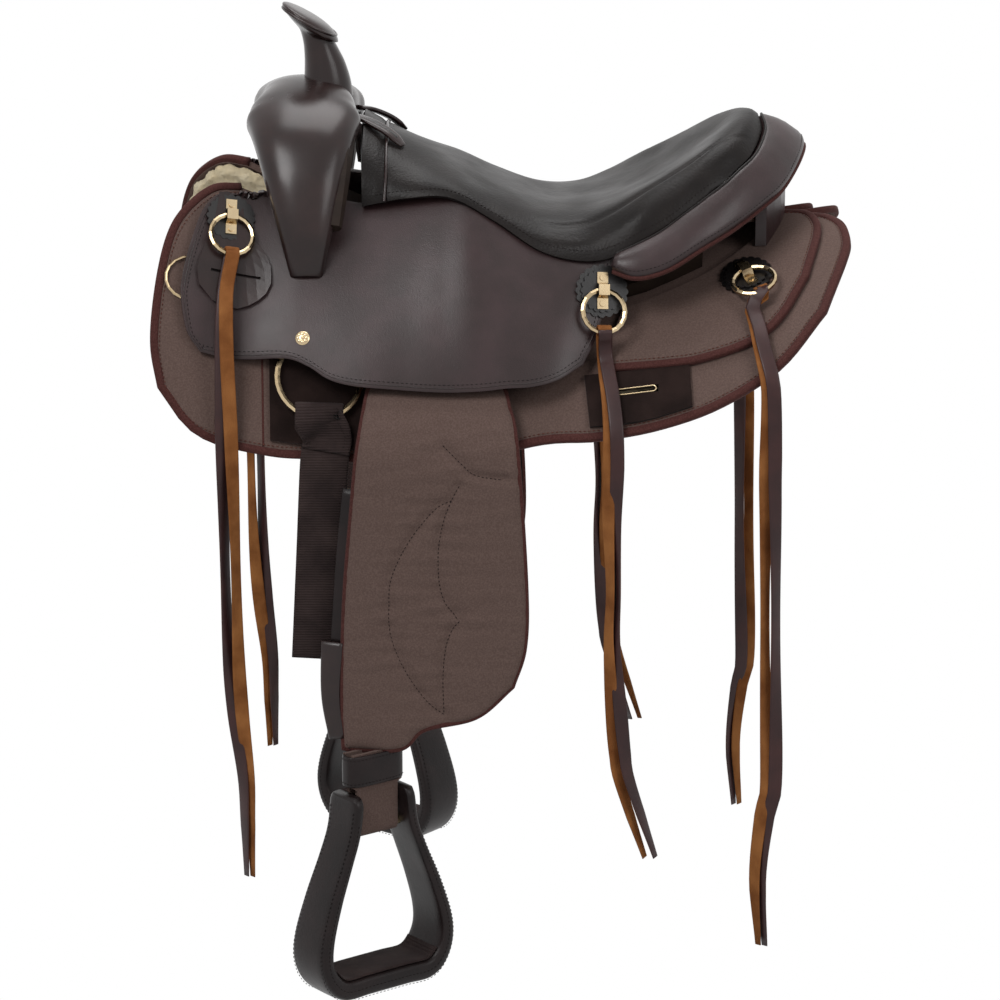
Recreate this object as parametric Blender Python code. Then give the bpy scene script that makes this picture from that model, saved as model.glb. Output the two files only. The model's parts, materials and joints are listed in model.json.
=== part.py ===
"""Trail saddle: every leather, padded, wooden and metal piece as its own closed solid.

+X runs to the rear, +Z up, and the rider's left side is at -Y. z = 0 is the ridge of the
horse's back under the middle of the saddle. Places along and across the panels are in
millimetres; everything that is named in capitals with a unit of length is in metres.
"""

from math import cos, pi, radians, sin, sqrt

import bmesh
import bpy
import numpy as np
from mathutils import Matrix, Vector

MM = 0.001

# Driving sizes
SKIRT_LENGTH = 690 * MM
DRAWN_SKIRT_LENGTH = 690 * MM  # lengthwise places below are written for this length
FENDER_DROP = 410 * MM
DRAWN_FENDER_DROP = 410 * MM  # heights below the skirt are written for this drop
GAP = 0.3 * MM  # between surfaces that touch
LAYER_GAP = 0.7 * MM  # between stacked curved layers, whose facets differ
BAR_LIFT = 0.6 * MM  # more room under the bars, whose facets are the longest

FLEECE = 16 * MM
SKIRT = 6.5 * MM
BAR = 17 * MM
RIGGING_LEATHER = 3.6 * MM
REAR_JOCKEY = 6 * MM
JOCKEY = 4.5 * MM
GROUND_SEAT = 5 * MM
SEAT_PAD = 15 * MM
FORK_LEATHER = 4.5 * MM
ROSETTE = 4.5 * MM
ROSETTE_RADIUS = 23.5 * MM
SCALLOP = 1.6 * MM
KEEPER = 4 * MM

RING_INNER = 38 * MM
RING_WIRE = 5 * MM
CLIP_LENGTH = 37 * MM
CLIP_WIDTH = 11 * MM
CLIP_PLATE = 1.6 * MM
STRING_WIDTH = 14 * MM
STRING_THICKNESS = 2.2 * MM
PLY_OFFSET = 4.5 * MM

RIGGING_RING_OUTER = 90 * MM
RIGGING_WIRE = 6 * MM
LATIGO_WIDTH = 48 * MM
LATIGO_THICKNESS = 2.2 * MM

FENDER_PAD = 11 * MM
FENDER_STRAP = 5 * MM
STIRRUP_LEATHER = 4 * MM
STIRRUP_LEATHER_WIDTH = 50 * MM
STIRRUP_TURN = 38  # degrees that the stirrup's front stands out from the horse
STIRRUP_HEIGHT = 208 * MM
STIRRUP_TOP_WIDTH = 76 * MM
STIRRUP_BOTTOM_WIDTH = 166 * MM
TREAD_DEPTH = 58 * MM
BOLT_RADIUS = 4 * MM

SIDES = (("left", -1), ("right", 1))

COLOURS = {
    "leather": ((0.060, 0.036, 0.032, 1), 0.42, 0),
    "soft_leather": ((0.040, 0.028, 0.026, 1), 0.40, 0),
    "suede": ((0.050, 0.032, 0.028, 1), 0.9, 0),
    "cordura": ((0.150, 0.112, 0.094, 1), 0.9, 0),
    "fleece": ((0.80, 0.70, 0.52, 1), 1.0, 0),
    "brass": ((0.80, 0.66, 0.46, 1), 0.25, 1),
    "webbing": ((0.045, 0.028, 0.026, 1), 0.85, 0),
    "lace": ((0.075, 0.024, 0.020, 1), 0.45, 0),
    "wood": ((0.50, 0.34, 0.20, 1), 0.6, 0),
}


def clear_scene():
    """Removes whatever the file opened with."""
    for item in list(bpy.data.objects):
        bpy.data.objects.remove(item, do_unlink=True)


def material(name):
    """The Principled material of one kind of stuff, made once."""
    if name in bpy.data.materials:
        return bpy.data.materials[name]
    made = bpy.data.materials.new(name)
    made.use_nodes = True
    shader = made.node_tree.nodes["Principled BSDF"]
    colour, roughness, metallic = COLOURS[name]
    shader.inputs["Base Color"].default_value = colour
    shader.inputs["Roughness"].default_value = roughness
    shader.inputs["Metallic"].default_value = metallic
    return made


def add_object(name, mesh_or_curve, stuff):
    """Links an object of that name to the scene, with its material."""
    mesh_or_curve.materials.append(material(stuff))
    made = bpy.data.objects.new(name, mesh_or_curve)
    bpy.context.scene.collection.objects.link(made)
    return made


SHARP = 35  # degrees between faces from which an edge is shaded sharp
WIRE_SHARP = 80  # the same on round wire


def finish_mesh(name, bm, stuff, sharp=SHARP):
    """Turns a bmesh into a smooth shaded object with its faces pointing out."""
    bmesh.ops.recalc_face_normals(bm, faces=bm.faces)
    mesh = bpy.data.meshes.new(name)
    bm.to_mesh(mesh)
    bm.free()
    mesh.shade_smooth()
    mesh.set_sharp_from_angle(angle=radians(sharp))
    return add_object(name, mesh, stuff)


def hang_from(made, place):
    """Moves an object's origin to a place on its joint's axis, and leaves its mesh where it is."""
    made.data.transform(Matrix.Translation(-place))
    made.location = place
    return made


# The horse's back, as the saddle's underside follows it


def lengthwise(x):
    """World x in metres of a lengthwise place in millimetres."""
    return x * MM * SKIRT_LENGTH / DRAWN_SKIRT_LENGTH


RIDGE_REACH = 280  # millimetres before and behind the middle where the next two are met
WITHERS_RISE = 155
LOIN_RISE = 20
WITHERS_CURVE = 1.6  # exponents of the two rises
LOIN_CURVE = 2
RIDGE_SLOPE = 24  # degrees beside the ridge at the middle
WITHERS_STEEPENING = 0.075  # degrees for each millimetre forwards
LOIN_FLATTENING = 0.043
BARREL_SLOPE = radians(78)
BARREL_GIRTH = 420  # millimetres from the ridge to where the slope stops growing


def spine_height(x):
    """Height of the back's ridge in millimetres: it climbs to the withers in front."""
    if x < 0:
        return WITHERS_RISE * (-x / RIDGE_REACH) ** WITHERS_CURVE
    return LOIN_RISE * (x / RIDGE_REACH) ** LOIN_CURVE


def ridge_slope(x):
    """Slope of the back beside its ridge, in radians."""
    return radians(RIDGE_SLOPE - x * (WITHERS_STEEPENING if x < 0 else LOIN_FLATTENING))


def wrap(x, s, height=0.0, side=-1):
    """The point s millimetres down the side from the ridge and height metres off the back."""
    start = ridge_slope(x)
    rate = (BARREL_SLOPE - start) / BARREL_GIRTH
    bent = min(s, BARREL_GIRTH)
    slope = start + rate * bent
    past = s - bent
    y = (sin(slope) - sin(start)) / rate + past * cos(BARREL_SLOPE)
    z = spine_height(x) + (cos(slope) - cos(start)) / rate - past * sin(BARREL_SLOPE)
    return Vector(
        (lengthwise(x), side * (y * MM + height * sin(slope)), z * MM + height * cos(slope))
    )


def wrap_frame(x, s, height, side, turn=0.0):
    """A frame on the side: X along the saddle, Y up the slope, Z outwards, turned about Z."""
    here = wrap(x, s, height, side)
    out = (wrap(x, s, height + 0.01, side) - here).normalized()
    up = (wrap(x, s - 1, height, side) - here).normalized()
    along = up.cross(out).normalized()
    up = out.cross(along)
    frame = Matrix((along, up, out)).transposed().to_4x4()
    frame.translation = here
    return frame @ Matrix.Rotation(radians(turn), 4, "Z")


FLEECE_TOP = FLEECE
SKIRT_LOW = FLEECE_TOP + LAYER_GAP
SKIRT_TOP = SKIRT_LOW + SKIRT
OVER_SKIRT = SKIRT_TOP + LAYER_GAP
BAR_LOW = OVER_SKIRT + BAR_LIFT
BAR_TOP = BAR_LOW + BAR
REAR_JOCKEY_TOP = OVER_SKIRT + REAR_JOCKEY
RIGGING_TOP = OVER_SKIRT + RIGGING_LEATHER


# Smooth curves and grids


def smooth(points, count):
    """count + 1 points spaced evenly along a smooth curve through the points."""
    p = np.array(points, float)
    if len(p) == 2:
        fine = np.linspace(p[0], p[1], 65)
    else:
        ends = np.vstack([2 * p[0] - p[1], p, 2 * p[-1] - p[-2]])
        t = np.linspace(0, 1, 33)[:, None]
        runs = []
        for a, b, c, d in zip(ends[:-3], ends[1:-2], ends[2:-1], ends[3:]):
            run = b + 0.5 * t * (c - a)
            run = run + t * t * (a - 2.5 * b + 2 * c - 0.5 * d)
            run = run + t * t * t * 0.5 * (3 * (b - c) + d - a)
            runs.append(run[:-1])
        fine = np.vstack([*runs, p[-1:]])
    along = np.concatenate([[0], np.cumsum(np.linalg.norm(np.diff(fine, axis=0), axis=1))])
    at = np.linspace(0, along[-1], count + 1)
    return np.stack([np.interp(at, along, fine[:, k]) for k in range(p.shape[1])], axis=1)


def value_along(table, at):
    """A smooth value read from (place, value) pairs."""
    curve = smooth(table, 96)
    return float(np.interp(at, curve[:, 0], curve[:, 1]))


def patch(top, bottom, front, rear, across, down):
    """A grid inside four joined edges: top and bottom run rearwards, front and rear downwards."""
    top, bottom = smooth(top, across), smooth(bottom, across)
    front, rear = smooth(front, down), smooth(rear, down)
    u = np.linspace(0, 1, across + 1)[:, None, None]
    v = np.linspace(0, 1, down + 1)[None, :, None]
    ruled = (1 - v) * top[:, None] + v * bottom[:, None]
    ruled = ruled + (1 - u) * front[None] + u * rear[None]
    corners = (1 - u) * (1 - v) * top[0] + u * (1 - v) * top[-1]
    corners = corners + (1 - u) * v * bottom[0] + u * v * bottom[-1]
    return ruled - corners


def shell(name, outer, inner, stuff):
    """A closed solid between two grids of points of the same size."""
    bm = bmesh.new()
    rows, columns = len(outer), len(outer[0])
    faces = [[[bm.verts.new(p) for p in row] for row in grid] for grid in (outer, inner)]
    for grid in faces:
        for i in range(rows - 1):
            for j in range(columns - 1):
                bm.faces.new((grid[i][j], grid[i + 1][j], grid[i + 1][j + 1], grid[i][j + 1]))
    rim = [(i, 0) for i in range(rows)] + [(rows - 1, j) for j in range(1, columns)]
    rim += [(i, columns - 1) for i in range(rows - 2, -1, -1)]
    rim += [(0, j) for j in range(columns - 2, 0, -1)]
    for (a, b), (c, d) in zip(rim, rim[1:] + rim[:1]):
        bm.faces.new((faces[0][a][b], faces[0][c][d], faces[1][c][d], faces[1][a][b]))
    return finish_mesh(name, bm, stuff)


def wrapped_panel(name, grid, low, high, side, stuff):
    """A panel that lies on the back between two heights, numbers or functions of (x, s)."""
    low_at = low if callable(low) else lambda x, s: low
    high_at = high if callable(high) else lambda x, s: high
    outer = [[wrap(x, s, high_at(x, s), side) for x, s in row] for row in grid]
    inner = [[wrap(x, s, low_at(x, s), side) for x, s in row] for row in grid]
    return shell(name, outer, inner, stuff)


def sweep(name, centres, ups, widths, thicknesses, stuff):
    """A flat strip with rectangular ends along centres; ups point out of its broad face."""
    bm = bmesh.new()
    rings = []
    last = len(centres) - 1
    for i, centre in enumerate(centres):
        ahead = (centres[min(i + 1, last)] - centres[max(i - 1, 0)]).normalized()
        up = (ups[i] - ahead * ups[i].dot(ahead)).normalized()
        across = ahead.cross(up) * widths[i] / 2
        rise = up * thicknesses[i] / 2
        corners = (across + rise, rise - across, -across - rise, across - rise)
        rings.append([bm.verts.new(centre + corner) for corner in corners])
    for a, b in zip(rings[:-1], rings[1:]):
        for k in range(4):
            bm.faces.new((a[k], a[(k + 1) % 4], b[(k + 1) % 4], b[k]))
    bmesh.ops.triangulate(bm, faces=bm.faces)  # a twisted strip's quads aren't flat
    bm.faces.new(rings[0])
    bm.faces.new(list(reversed(rings[-1])))
    return finish_mesh(name, bm, stuff)


def round_ring(name, frame, centre_radius, wire_radius, around, across, stuff):
    """A ring of round wire in the frame's XY plane."""
    bm = bmesh.new()
    turned = Matrix.Translation((centre_radius, 0, 0)) @ Matrix.Rotation(pi / 2, 4, "X")
    made = bmesh.ops.create_circle(bm, segments=across, radius=wire_radius, matrix=turned)
    edges = [e for e in bm.edges if e.verts[0] in made["verts"]]
    bmesh.ops.spin(
        bm, geom=made["verts"] + edges, cent=(0, 0, 0), axis=(0, 0, 1),
        angle=2 * pi, steps=around, use_merge=True,
    )
    bmesh.ops.remove_doubles(bm, verts=bm.verts, dist=1e-6)
    bmesh.ops.transform(bm, matrix=frame, verts=bm.verts)
    return finish_mesh(name, bm, stuff, WIRE_SHARP)

# Skirts, fleece and the tree's bars

SKIRT_TOP_EDGE = [(-262, 90), (-180, 62), (-60, 44), (80, 30), (190, 12), (262, 1.5)]
SKIRT_REAR_EDGE = [(262, 1.5), (318, 8), (344, 34), (351, 72), (345, 104), (322, 166)]
SKIRT_LOWER_EDGE = [(-337, 354), (-300, 368), (-230, 338), (-145, 298), (18, 255), (98, 256),
                    (159, 254), (219, 243), (277, 216), (322, 166)]
SKIRT_FRONT_EDGE = [(-262, 90), (-289, 115), (-315, 160), (-330, 202), (-340, 260), (-344, 318),
                    (-337, 354)]
SKIRT_MIDDLE = (0, 180)
FLEECE_INSET = 4

BAR_TOP_EDGE = [(-222, 78), (-140, 54), (0, 44), (140, 42), (205, 40)]
BAR_LOWER_EDGE = [(-222, 122), (-140, 118), (0, 108), (100, 108), (150, 100), (205, 76)]


def skirt_grid(across, down, inset):
    """The skirt's grid of (x, s), drawn in by inset millimetres at its edges."""
    grid = patch(SKIRT_TOP_EDGE, SKIRT_LOWER_EDGE, SKIRT_FRONT_EDGE, SKIRT_REAR_EDGE, across, down)
    middle = np.array(SKIRT_MIDDLE, float)
    out = grid - middle
    length = np.linalg.norm(out, axis=2, keepdims=True)
    return middle + out * (length - inset) / length


def add_skirts():
    """The padded cordura skirts with the fleece under them."""
    for side_name, side in SIDES:
        wrapped_panel(f"skirt_{side_name}", skirt_grid(16, 7, 0), SKIRT_LOW, SKIRT_TOP, side,
                      "cordura")
        wrapped_panel(f"fleece_{side_name}", skirt_grid(16, 7, FLEECE_INSET), 0, FLEECE_TOP,
                      side, "fleece")


def straight_sides(top, lower):
    """The front and rear edges that join the ends of a top and a lower edge."""
    return [top[0], lower[0]], [top[-1], lower[-1]]


def add_tree_bars():
    """The two wooden bars that lie along the back."""
    front, rear = straight_sides(BAR_TOP_EDGE, BAR_LOWER_EDGE)
    grid = patch(BAR_TOP_EDGE, BAR_LOWER_EDGE, front, rear, 14, 4)
    for side_name, side in SIDES:
        wrapped_panel(f"tree_bar_{side_name}", grid, BAR_LOW, BAR_TOP, side, "wood")


# Jockeys: the leather side panels, from under the seat's edge down over the fenders

# Along the saddle: (x, s at the seat's edge, height there, s at the lower edge, height there),
# with heights in millimetres off the back to the jockey's outer face.
JOCKEY_RUN = [
    (-320, 150, 33, 265, 33), (-290, 120, 35, 282, 30), (-250, 98, 38, 262, 34),
    (-200, 77, 56, 238, 47), (-140, 68, 75, 240, 58), (-90, 57, 98, 229, 61),
    (-60, 55, 111, 222, 62), (-30, 60, 119, 219, 61), (0, 75, 109, 216, 59),
    (30, 92, 95, 214, 55), (60, 105, 87, 207, 48), (90, 111, 83, 180, 41),
    (120, 112, 82, 150, 38),
]
JOCKEY_TOP_EDGE = [(-262, 106), (-244, 95), (-200, 66), (-140, 58), (-90, 48), (-60, 46),
                   (-30, 50), (0, 63), (30, 80), (60, 93), (90, 99), (117, 100)]
JOCKEY_FRONT_EDGE = [(-262, 106), (-280, 118), (-297, 149), (-309, 194), (-316, 231),
                     (-317, 251), (-311, 280), (-298, 290)]
JOCKEY_LOWER_EDGE = [(-298, 290), (-267, 274), (-216, 243), (-191, 238), (-171, 241),
                     (-147, 238), (-97, 226), (-39, 217), (1, 213), (32, 212), (59, 205),
                     (83, 189)]
JOCKEY_REAR_EDGE = [(117, 100), (113, 112), (106, 135), (97, 162), (83, 189)]


def jockey_height(x, s):
    """Height off the back of the jockey's outer face, in metres."""
    top_s, top_h, low_s, low_h = (
        value_along([(row[0], row[k]) for row in JOCKEY_RUN], x) for k in (1, 2, 3, 4)
    )
    share = (s - top_s) / (low_s - top_s)
    return (top_h + (low_h - top_h) * share) * MM


def jockey_grid():
    """The jockey's grid of (x, s)."""
    return patch(JOCKEY_TOP_EDGE, JOCKEY_LOWER_EDGE, JOCKEY_FRONT_EDGE, JOCKEY_REAR_EDGE, 20, 8)


def under_jockey(x, s):
    """Height off the back of the jockey's inner face."""
    return jockey_height(x, s) - JOCKEY


def add_jockeys():
    """The side panels of smooth leather."""
    for side_name, side in SIDES:
        wrapped_panel(f"jockey_{side_name}", jockey_grid(), under_jockey, jockey_height, side,
                      "leather")


def hide(helper):
    """Keeps a cutter in the file, unseen."""
    helper.hide_render = True
    helper.display_type = "WIRE"
    return helper


def cut_by(body, cutter, name):
    """Cuts body with cutter."""
    cut = body.modifiers.new(name, "BOOLEAN")
    cut.operation = "DIFFERENCE"
    cut.object = hide(cutter)


SHALLOW = 14 * MM
DEEP = 60 * MM
SEAT_LIFT = 0.95 * MM  # from the jockey up to what is cut to lie on it


def jockey_cutters(depth):
    """Solids from just over each jockey to depth metres under its outer face, by side."""
    grid = jockey_grid()
    middle = grid.mean(axis=(0, 1))
    out = grid - middle
    length = np.linalg.norm(out, axis=2, keepdims=True)
    grown = middle + out * (length + 2 * LAYER_GAP / MM) / length
    return {
        side_name: wrapped_panel(
            f"jockey_space_{side_name}", grown, lambda x, s: jockey_height(x, s) - depth,
            lambda x, s: jockey_height(x, s) + SEAT_LIFT, side, "leather",
        )
        for side_name, side in SIDES
    }


REAR_JOCKEY_TOP_EDGE = [(124, 122), (160, 112), (215, 88), (262, 46), (286, 2)]
REAR_JOCKEY_REAR_EDGE = [(286, 2), (312, 14), (322, 38), (321, 66), (306, 122)]
REAR_JOCKEY_LOWER_EDGE = [(100, 188), (135, 191), (169, 194), (199, 195), (248, 187), (279, 166),
                          (306, 122)]


def add_rear_jockeys():
    """The padded cordura panels behind the seat."""
    front = [REAR_JOCKEY_TOP_EDGE[0], REAR_JOCKEY_LOWER_EDGE[0]]
    grid = patch(REAR_JOCKEY_TOP_EDGE, REAR_JOCKEY_LOWER_EDGE, front, REAR_JOCKEY_REAR_EDGE, 12, 5)
    for side_name, side in SIDES:
        wrapped_panel(f"rear_jockey_{side_name}", grid, OVER_SKIRT, REAR_JOCKEY_TOP, side,
                      "cordura")


# Seat

# Lines across the seat from front to rear: each runs from the middle to the near edge.
SEAT_LINES = [
    [(-138, 0, 152), (-138, 42, 146), (-139, 78, 126), (-139, 100, 98), (-139, 108, 72)],
    [(-95, 0, 128), (-95, 38, 125), (-95, 74, 114), (-95, 100, 98), (-95, 114, 82)],
    [(-50, 0, 107), (-50, 42, 106), (-50, 82, 101), (-50, 106, 94), (-50, 119, 84)],
    [(-5, 0, 85.5), (-5, 46, 85), (-5, 90, 80), (-5, 116, 71), (-5, 128, 62)],
    [(40, 0, 68.5), (40, 52, 68.5), (40, 98, 63), (40, 128, 49), (40, 141, 34)],
    [(80, 0, 65), (80, 56, 66), (80, 106, 61), (80, 137, 43), (80, 149, 25)],
    [(122, 0, 74), (120, 56, 76), (113, 106, 73), (108, 137, 53), (112, 152, 29)],
    [(165, 0, 94), (162, 56, 96), (152, 103, 94), (142, 135, 74), (138, 150, 43)],
    [(208, 0, 123), (204, 50, 124), (190, 95, 114), (174, 127, 88), (172, 141, 60)],
    [(240, 0, 148), (236, 44, 145), (220, 84, 131), (201, 113, 106), (203, 127, 83)],
    [(256, 0, 153), (252, 42, 147), (237, 84, 130), (217, 109, 108), (213, 121, 90)],
    [(264, 0, 149), (266, 35, 138), (254, 78, 121), (238, 100, 109), (222, 115, 97)],
]
SEAT_EDGE = 6 * MM
SEAT_LENGTHS = 18
SEAT_ACROSS = 10
SEAT_SIDE_TAPER = 1.6  # how fast the padding fills out from the side and rear edges
SEAT_REAR_TAPER = 4
GROUND_SEAT_SHORT = 3  # grid rows and columns that the ground seat stops short of the edge
GROUND_SEAT_NARROW = 2


def placed(point):
    """World point of a place in millimetres that isn't on the back."""
    return Vector((lengthwise(point[0]), point[1] * MM, point[2] * MM))


def seat_grid(lengths, across):
    """Points over the seat's top, as rows across from the left edge to the right."""
    lines = []
    for line in SEAT_LINES:
        half = [(x, -y, z) for x, y, z in reversed(line)]
        lines.append(smooth(half + line[1:], across))
    columns = [smooth([line[j] for line in lines], lengths) for j in range(across + 1)]
    return [[placed(column[i]) for column in columns] for i in range(lengths + 1)]


def grid_normals(grid):
    """A unit normal at each point of a grid, pointing up."""
    rows, columns = len(grid), len(grid[0])
    normals = []
    for i in range(rows):
        row = []
        for j in range(columns):
            along = grid[min(i + 1, rows - 1)][j] - grid[max(i - 1, 0)][j]
            over = grid[i][min(j + 1, columns - 1)] - grid[i][max(j - 1, 0)]
            row.append(along.cross(over).normalized())
        normals.append(row)
    return normals


def sunk(grid, normals, depth_at):
    """The grid moved in against its normals by depth_at(i, j) metres."""
    return [
        [point - normals[i][j] * depth_at(i, j) for j, point in enumerate(row)]
        for i, row in enumerate(grid)
    ]


def seat_depth(i, j):
    """Thickness of the seat's padding: full in the middle and thin at its edges."""
    share = min(1, 2 * min(j, SEAT_ACROSS - j) / SEAT_ACROSS * SEAT_SIDE_TAPER)
    share = min(share, (SEAT_LENGTHS - i) / SEAT_LENGTHS * SEAT_REAR_TAPER)
    return SEAT_EDGE + (SEAT_PAD - SEAT_EDGE) * share


def add_seat():
    """The padded seat and the ground seat under it."""
    grid = seat_grid(SEAT_LENGTHS, SEAT_ACROSS)
    normals = grid_normals(grid)
    seat = shell("seat", grid, sunk(grid, normals, seat_depth), "soft_leather")
    rows = slice(0, SEAT_LENGTHS - GROUND_SEAT_SHORT)
    columns = slice(GROUND_SEAT_NARROW, SEAT_ACROSS + 1 - GROUND_SEAT_NARROW)

    def cut(points):
        return [row[columns] for row in points[rows]]

    top = sunk(grid, normals, lambda i, j: seat_depth(i, j) + LAYER_GAP)
    under = sunk(grid, normals, lambda i, j: seat_depth(i, j) + LAYER_GAP + GROUND_SEAT)
    return seat, shell("ground_seat", cut(top), cut(under), "leather")


# Cantle roll and the cantle that carries it

# From the roll's front end to the middle of the back: its seam with the seat, and its outer edge.
ROLL_SEAM = [(116, 154, 33), (138, 152, 43), (160, 147, 54), (181, 139, 68), (203, 129, 83),
             (224, 117, 97), (240, 102, 109), (257, 79, 121), (269, 36, 138), (267, 0, 148)]
ROLL_EDGE = [(112, 163, 18), (135, 171, 12), (166, 167, 19), (199, 155, 37), (233, 135, 54),
             (266, 105, 73), (286, 80, 86), (304, 40, 106), (312, 0, 118)]
ROLL_SECTION = [(0.0, 0.5), (0.3, 6), (0.65, 8), (0.9, 5), (1.0, -3), (0.85, -9), (0.5, -9),
                (0.0, -9)]  # (share of the way to the edge, millimetres off the line)
ROLL_STATIONS = 13
ROLL_CLEARANCE = 0.6 * MM  # from the roll to the seat's edge
ROLL_UNDER = 9  # millimetres from the line between seam and edge to the roll's underside
CANTLE_REACH = 0.34  # share of the roll's half length that the cantle runs under
CANTLE_FRONT = 0.28  # shares of the way from the roll's seam to its edge
CANTLE_REAR = 0.70


def mirrored(line):
    """A half line from one side to the middle, carried on to the other side."""
    return [(x, -y, z) for x, y, z in line] + [(x, y, z) for x, y, z in reversed(line[:-1])]


def roll_stations():
    """(seam point, way out to the edge, way up) at each station of the roll."""
    seam = [placed(p) for p in smooth(mirrored(ROLL_SEAM), 2 * ROLL_STATIONS)]
    edge = [placed(p) for p in smooth(mirrored(ROLL_EDGE), 2 * ROLL_STATIONS)]
    last = 2 * ROLL_STATIONS
    stations = []
    for i in range(last + 1):
        along = (seam[min(i + 1, last)] - seam[max(i - 1, 0)]).normalized()
        out = edge[i] - seam[i]
        up = out.cross(along).normalized()
        up = up if up.z > 0 else -up
        stations.append((seam[i] + out.normalized() * ROLL_CLEARANCE, out, up))
    return stations


def loft(name, rings, stuff):
    """A closed solid through rings of points, with flat ends."""
    bm = bmesh.new()
    made = [[bm.verts.new(point) for point in ring] for ring in rings]
    for a, b in zip(made[:-1], made[1:]):
        for k in range(len(a)):
            n = (k + 1) % len(a)
            bm.faces.new((a[k], a[n], b[n], b[k]))
    bm.faces.new(made[0])
    bm.faces.new(list(reversed(made[-1])))
    return finish_mesh(name, bm, stuff)


def roll_solid(name, grow):
    """The stuffed leather roll round the cantle, or the space for it, grow metres larger."""
    rings = []
    for seam, out, up in roll_stations():
        aside = out.normalized() * grow
        ring = []
        for share, rise in ROLL_SECTION:
            away = aside * (1 if share > 0.5 else -1)
            lift = up * grow * (1 if rise > 0 else -1)
            ring.append(seam + out * share + up * rise * MM + away + lift)
        rings.append(ring)
    return loft(name, rings, "leather")


WIDEST = 300.0  # millimetres down the side within which height_over looks
HALVINGS = 30


def height_over(x, y, height):
    """World z of the surface height metres off the back, over millimetre place (x, y)."""
    low, high = 0.0, WIDEST
    for _ in range(HALVINGS):
        s = (low + high) / 2
        if wrap(x, s, height, 1).y < abs(y) * MM:
            low = s
        else:
            high = s
    return wrap(x, low, height, 1).z


def add_cantle():
    """The cantle: the wall between the rear jockeys and the roll, behind the seat."""
    rings = []
    reach = round(ROLL_STATIONS * CANTLE_REACH)
    scale = SKIRT_LENGTH / DRAWN_SKIRT_LENGTH
    for seam, out, up in roll_stations()[ROLL_STATIONS - reach : ROLL_STATIONS + reach + 1]:
        ring = []
        for share in (CANTLE_FRONT, CANTLE_REAR):
            ring.append(seam + out * share - up * (ROLL_UNDER * MM + LAYER_GAP))
        for top in reversed(ring[:2]):
            foot = top.copy()
            foot.z = height_over(top.x / MM / scale, top.y / MM, REAR_JOCKEY_TOP + LAYER_GAP + GAP)
            ring.append(foot)
        rings.append(ring)
    loft("tree_cantle", rings, "leather")


# Fork: the wooden arch and its moulded leather cover

# From a foot to the top of the arch: outer point (y, z), inner point (y, z), middle x, half length
FORK_STATIONS = [
    ((152, 12), (140, 8), -178, 18), ((157, 30), (138, 24), -183, 37),
    ((155, 52), (130, 44), -188, 47), ((148, 80), (116, 68), -190, 52),
    ((133, 116), (96, 96), -193, 55), ((107, 151), (74, 117), -195, 53),
    ((60, 177), (38, 126), -197, 48), ((0, 188), (0, 130), -199, 45),
]
FORK_ROUNDS = 12
FORK_ROWS = 20
FORK_OPEN = 50  # degrees each side of straight inwards that the cover leaves open
FORK_SQUARE = 0.77  # exponent that squares the arch's section off: 1 is an ellipse
WOOD_GAP = 0.9  # millimetres between the cover and the wood
FORK_FOOT_ROWS = 2  # rings at each foot where the cover is too thin for wood


def fork_rows(inset, first, last, rounds):
    """Rings of points round the arch, foot to foot, from angle first to last in degrees."""
    outer = smooth(mirrored([(k, y, z) for k, ((y, z), _, _, _) in enumerate(FORK_STATIONS)]), FORK_ROWS)
    inner = smooth(mirrored([(k, y, z) for k, (_, (y, z), _, _) in enumerate(FORK_STATIONS)]), FORK_ROWS)
    rows = []
    for (_, oy, oz), (_, iy, iz) in zip(outer, inner):
        rows.append(((oy, oz), (iy, iz)))
    sizes = [(k, x, a) for k, (_, _, x, a) in enumerate(FORK_STATIONS)]
    crown = len(sizes) - 1
    sizes = smooth(sizes + [(2 * crown - k, x, a) for k, x, a in reversed(sizes[:-1])], FORK_ROWS)
    points = []
    for ((oy, oz), (iy, iz)), (_, x, half) in zip(rows, sizes):
        middle = Vector((0, (oy + iy) / 2, (oz + iz) / 2))
        out = Vector((0, oy - iy, oz - iz))
        rise = out.length / 2 - inset
        out.normalize()
        ring = []
        for k in range(rounds + 1):
            angle = radians(first + (last - first) * k / rounds)
            c, s = cos(angle), sin(angle)
            c = abs(c) ** FORK_SQUARE * (1 if c > 0 else -1)
            s = abs(s) ** FORK_SQUARE * (1 if s > 0 else -1)
            flat = middle + out * rise * s
            ring.append(placed((x + (half - inset) * c, flat.y, flat.z)))
        points.append(ring)
    return points


def add_fork():
    """The arch of the tree and the leather moulded over it."""
    leather = FORK_LEATHER / MM
    first, last = -90 + FORK_OPEN, 270 - FORK_OPEN
    outer = fork_rows(0, first, last, FORK_ROUNDS)
    inner = fork_rows(leather, first, last, FORK_ROUNDS)
    cover = shell("fork_cover", outer, inner, "leather")
    rings = fork_rows(leather + WOOD_GAP, 0, 360, 12)[FORK_FOOT_ROWS:-FORK_FOOT_ROWS]
    tree = loft("tree_fork", [ring[:-1] for ring in rings], "wood")
    return cover, tree


# Horn: (x, z, radius, tilt in degrees) of its rings from inside the fork to the cap's top
HORN_RINGS = [(-178, 168, 23, 0), (-178, 186, 21, 0), (-181, 205, 16.5, 5), (-184.5, 221, 15, 12),
              (-187, 231, 16, 20), (-189, 235.5, 23, 26), (-191, 238, 29, 28),
              (-193.5, 243, 31, 28), (-196, 248, 30.5, 28), (-197.5, 251, 26, 28)]
HORN_SIDES = 16


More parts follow.
